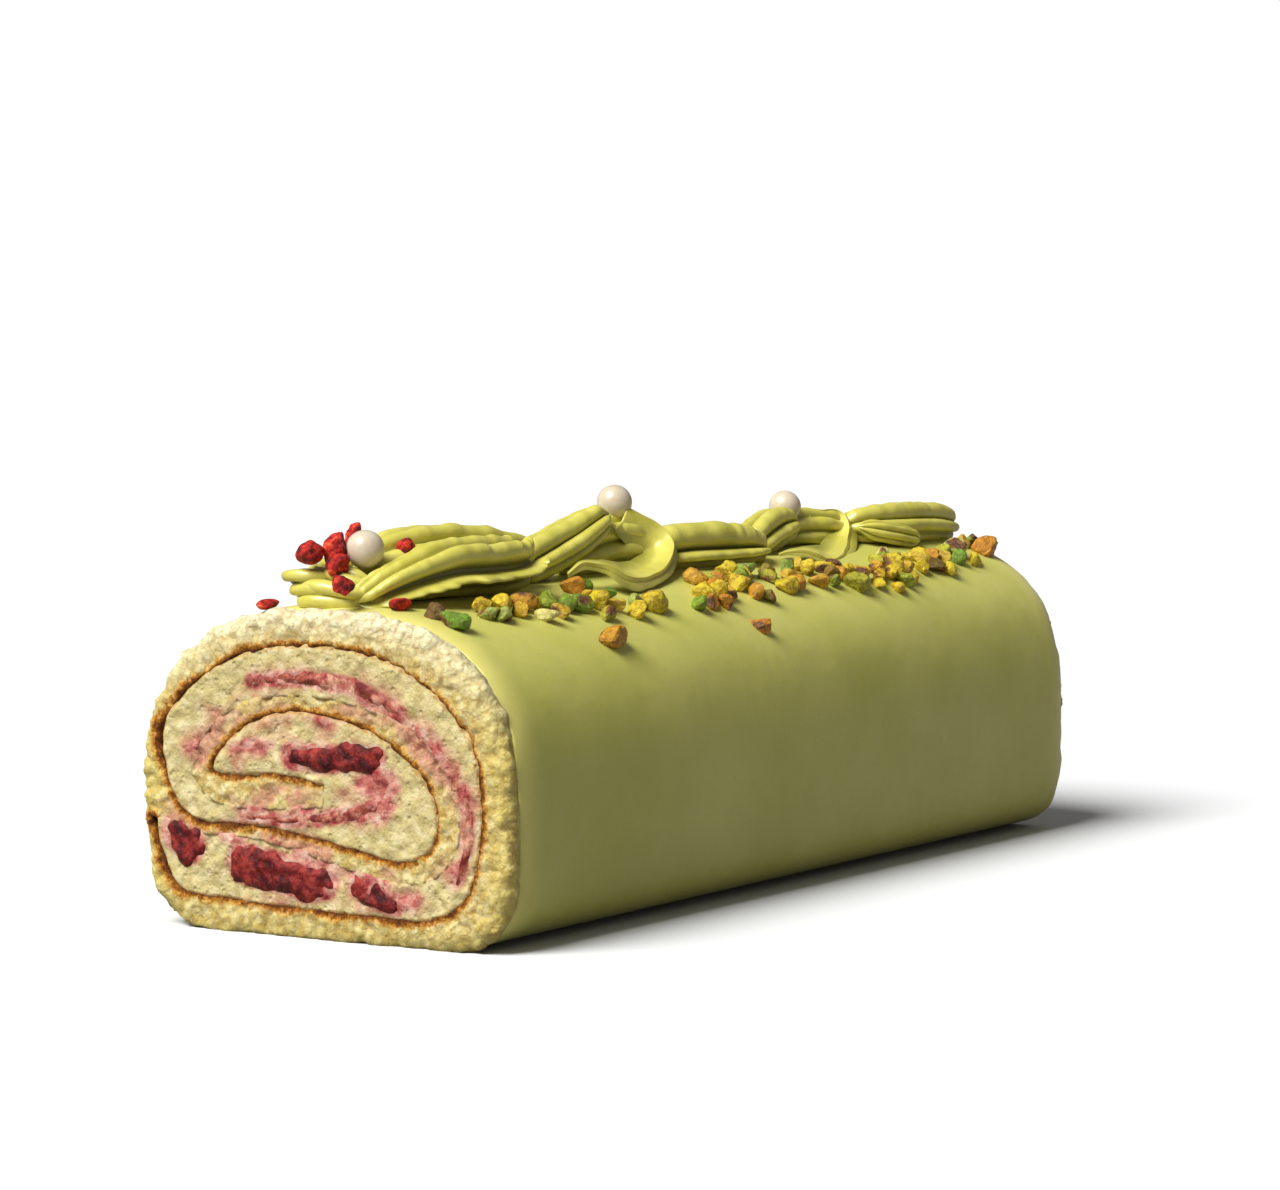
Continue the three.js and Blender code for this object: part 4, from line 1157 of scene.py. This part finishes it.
def buildPearls():
    finish = pearlFinish()
    ball, faces = ballMesh(5)
    for number in range(1, pearls["count"] + 1):
        middle, half = middleAndHalf(f"pearl_{number}")
        size = half.mean() * (1 + pearls["uneven"] * softNoise(ball, 0.6, number))
        piece = makePiece(f"pearl.{number}", middle + ball * size[:, None], faces, finish)
        settle(piece, "pearl", f"pearl_{number}")


def driedFinish():
    finish, tree, shader = newFinish("driedBerry", 0.6, gloss=0.35, glow=0.1,
                                     glowRadius=(0.001, 0.0003, 0.0002))
    colour = rampOf(tree, noiseOf(tree, 2.2, 4.0, 0.65), dried["tones"])
    giveSurface(tree, shader, colour, [(noiseOf(tree, 1.0, 4.0, 0.7), 0.9)])
    return finish


def buildDried():
    finish = driedFinish()
    ball, faces = ballMesh(4)
    draws = np.random.default_rng(dried["seed"])
    for number in range(1, dried["count"] + 1):
        middle, half = middleAndHalf(f"dried_berry_{number}")
        shaped = ball * half
        directions = randomDirections(draws, dried["cuts"])
        depths = draws.uniform(*dried["cutDepth"], dried["cuts"])
        cuts = (depths / np.maximum(ball @ directions.T, 1e-3)).min(axis=1)
        lumps = np.minimum(cuts * 1.15, 1.15) * (1 + 0.14 * softNoise(shaped + number * 9, 1.4, number))
        piece = makePiece(f"driedBerry.{number}", middle + shaped * lumps[:, None], faces, finish)
        settle(piece, "dried_berry", f"dried_berry_{number}")


buildPearls()
buildDried()
print("pearls and dried berry pieces are built")


# Chopped nuts, at the places of the solid ones

nuts = {
    "groups": [         # x from the near cut, y, spreads along and across, how many
        [27, -14, 3, 2, 2], [17, -22, 3, 2, 1], [11, -28, 3, 2, 1], [38, -22, 9, 4, 9],
        [54, -25, 9, 5, 11], [78, -19, 7, 6, 9], [72, -30, 7, 4, 4], [86, -31, 5, 3, 3],
        [64, -37, 3, 2, 1], [114, -31, 8, 3, 6], [125, -26, 6, 4, 5], [140, -25, 8, 3, 6],
        [135, -33, 4, 3, 2], [122, -41, 3, 2, 1], [158, -27, 10, 5, 9], [176, -31, 8, 4, 9],
        [195, -33, 8, 4, 8], [208, -29, 8, 4, 8], [222, -30, 8, 4, 7], [236, -27, 6, 5, 4],
        [252, -28, 4, 4, 3],
    ],
    "radius": [1.9, 3.1],
    "smallness": 1.4,      # above 1 makes more of the nuts small
    "scatter": 1.4,
    "widest": 1.25,        # a nut's longest reach, by its radius
    "clearance": 0.4,
    "besideFold": 0.8,
    "closeness": 0.8,      # under 1 lets neighbouring nuts touch
    "endSetBack": 5,
    "tries": 6,
    "placeSeed": 20,
    "shapeSeed": 77,
    "facets": 9,
    "facetDepth": [0.42, 0.92],
    "stretch": [1.5, 1.15, 1.0],
    "sunk": 0.35,
    "skinned": 0.75,       # the share of the nuts with brown skin on one side
    "tones": [
        (0.0, (0.70, 0.54, 0.006)), (0.30, (0.76, 0.56, 0.015)), (0.44, (0.62, 0.25, 0.005)),
        (0.58, (0.70, 0.50, 0.03)), (0.66, (0.14, 0.045, 0.006)), (0.76, (0.48, 0.46, 0.02)),
        (0.88, (0.17, 0.33, 0.010)), (1.0, (0.80, 0.70, 0.22))],
    "skin": [(0.4, (0.09, 0.03, 0.008)), (0.6, (0.28, 0.11, 0.015))],
    "vein": (0.34, 0.16, 0.01),
}


def takenPlaces():
    # x, y and radius of what the nuts keep clear of
    taken = []
    for number in range(1, dried["count"] + 1):
        middle, half = middleAndHalf(f"dried_berry_{number}")
        taken.append((middle[0] - nearEnd, middle[1], half[0]))
    for ropes in cream["ropes"].values():
        for ribs, stations in ropes:
            if ribs == "flap":     # the thin front petals lie well away from the nuts
                continue
            flat = [[s[0], s[1], s[3]] for s in stations]
            taken += [tuple(p) for p in smoothLine(flat, 2.5)]
    for folds in cream["folds"].values():
        for rows in folds:
            given = np.array(rows, float)
            inner, outer = given[:, 1, :2], given[:, 2, :2]
            reach = np.linalg.norm(outer - inner, axis=1) / 2 + nuts["besideFold"]
            taken += [tuple(p) for p in np.column_stack([(inner + outer) / 2, reach])]
    return taken


def nutPlaces():
    draws = seededDraws(nuts["placeSeed"])
    taken = takenPlaces()
    low, high = nuts["radius"]
    places = []
    for groupX, groupY, spreadX, spreadY, count in nuts["groups"]:
        inGroup = 0
        for _ in range(count * nuts["tries"]):
            radius = low + (high - low) * next(draws) ** nuts["smallness"]
            x = groupX + (next(draws) + next(draws) - 1) * spreadX * nuts["scatter"]
            y = groupY + (next(draws) + next(draws) - 1) * spreadY * nuts["scatter"]
            reach = radius * nuts["widest"] + nuts["clearance"]
            free = all(math.hypot(p[0] - x, p[1] - y) > p[2] + reach for p in taken)
            apart = all(math.hypot(p[0] - x, p[1] - y) > (p[2] + radius) * nuts["closeness"]
                        for p in places)
            if free and apart and inGroup < count and x < roll["length"] - nuts["endSetBack"]:
                places.append((x, y, radius))
                inGroup += 1
    return places


def nutFinish():
    finish, tree, shader = newFinish("choppedNut", 0.36, gloss=0.6, glow=0.06,
                                     glowRadius=(0.0015, 0.001, 0.0002))
    inside = rampOf(tree, shadeOf(tree, "kind"), nuts["tones"])
    skin = rampOf(tree, noiseOf(tree, 1.2, 3.0), nuts["skin"])
    skinned = plusNoise(tree, shadeOf(tree, "skin"), 0.6, noiseOf(tree, 2.0, 3.0))
    colour = mixOf(tree, spread(tree, skinned, 0.75, 0.95), inside, skin)
    veins = spread(tree, noiseOf(tree, 1.4, 4.0), 0.44, 0.62, 0.0, 0.6)
    colour = mixOf(tree, veins, colour, nuts["vein"], "MULTIPLY")
    giveSurface(tree, shader, colour, [(noiseOf(tree, 1.0, 5.0, 0.7), 0.7)])
    return finish


def buildNuts():
    ball, ballFaces = ballMesh(3)
    draws = np.random.default_rng(nuts["shapeSeed"])
    corners, faces, kinds, skins = [], [], [], []
    start = 0
    for x, y, radius in nutPlaces():
        directions = randomDirections(draws, nuts["facets"])
        depths = draws.uniform(*nuts["facetDepth"], nuts["facets"])
        reach = np.minimum((depths / np.maximum(ball @ directions.T, 1e-3)).min(axis=1), 1.0)
        nut = ball * (reach * (1 + 0.06 * softNoise(ball * 3 + start, 1.0, 4)))[:, None]
        nut = nut * np.array(nuts["stretch"]) * radius
        turn = Matrix.Rotation(draws.random() * 6.28, 3, "Z") @ Matrix.Rotation(draws.random() * 3.14, 3, "X")
        nut = nut @ np.array(turn).T
        lift = -nut[:, 2].min() * (1 - nuts["sunk"])
        corners.append(nut + np.array([x + nearEnd, y, icingHeight(y) + lift]))
        faces += (ballFaces + start).tolist()
        kinds += [draws.random()] * len(nut)
        skins.append(np.clip(ball @ directions[0], 0, 1) * (draws.random() < nuts["skinned"]) * 0.85)
        start += len(nut)
    shades = {"kind": kinds, "skin": np.concatenate(skins)}
    piece = makePiece("choppedNuts", np.vstack(corners), faces, nutFinish(), shades, smooth=False)
    settle(piece, "icing", "icing")


buildNuts()
print("nuts are built")
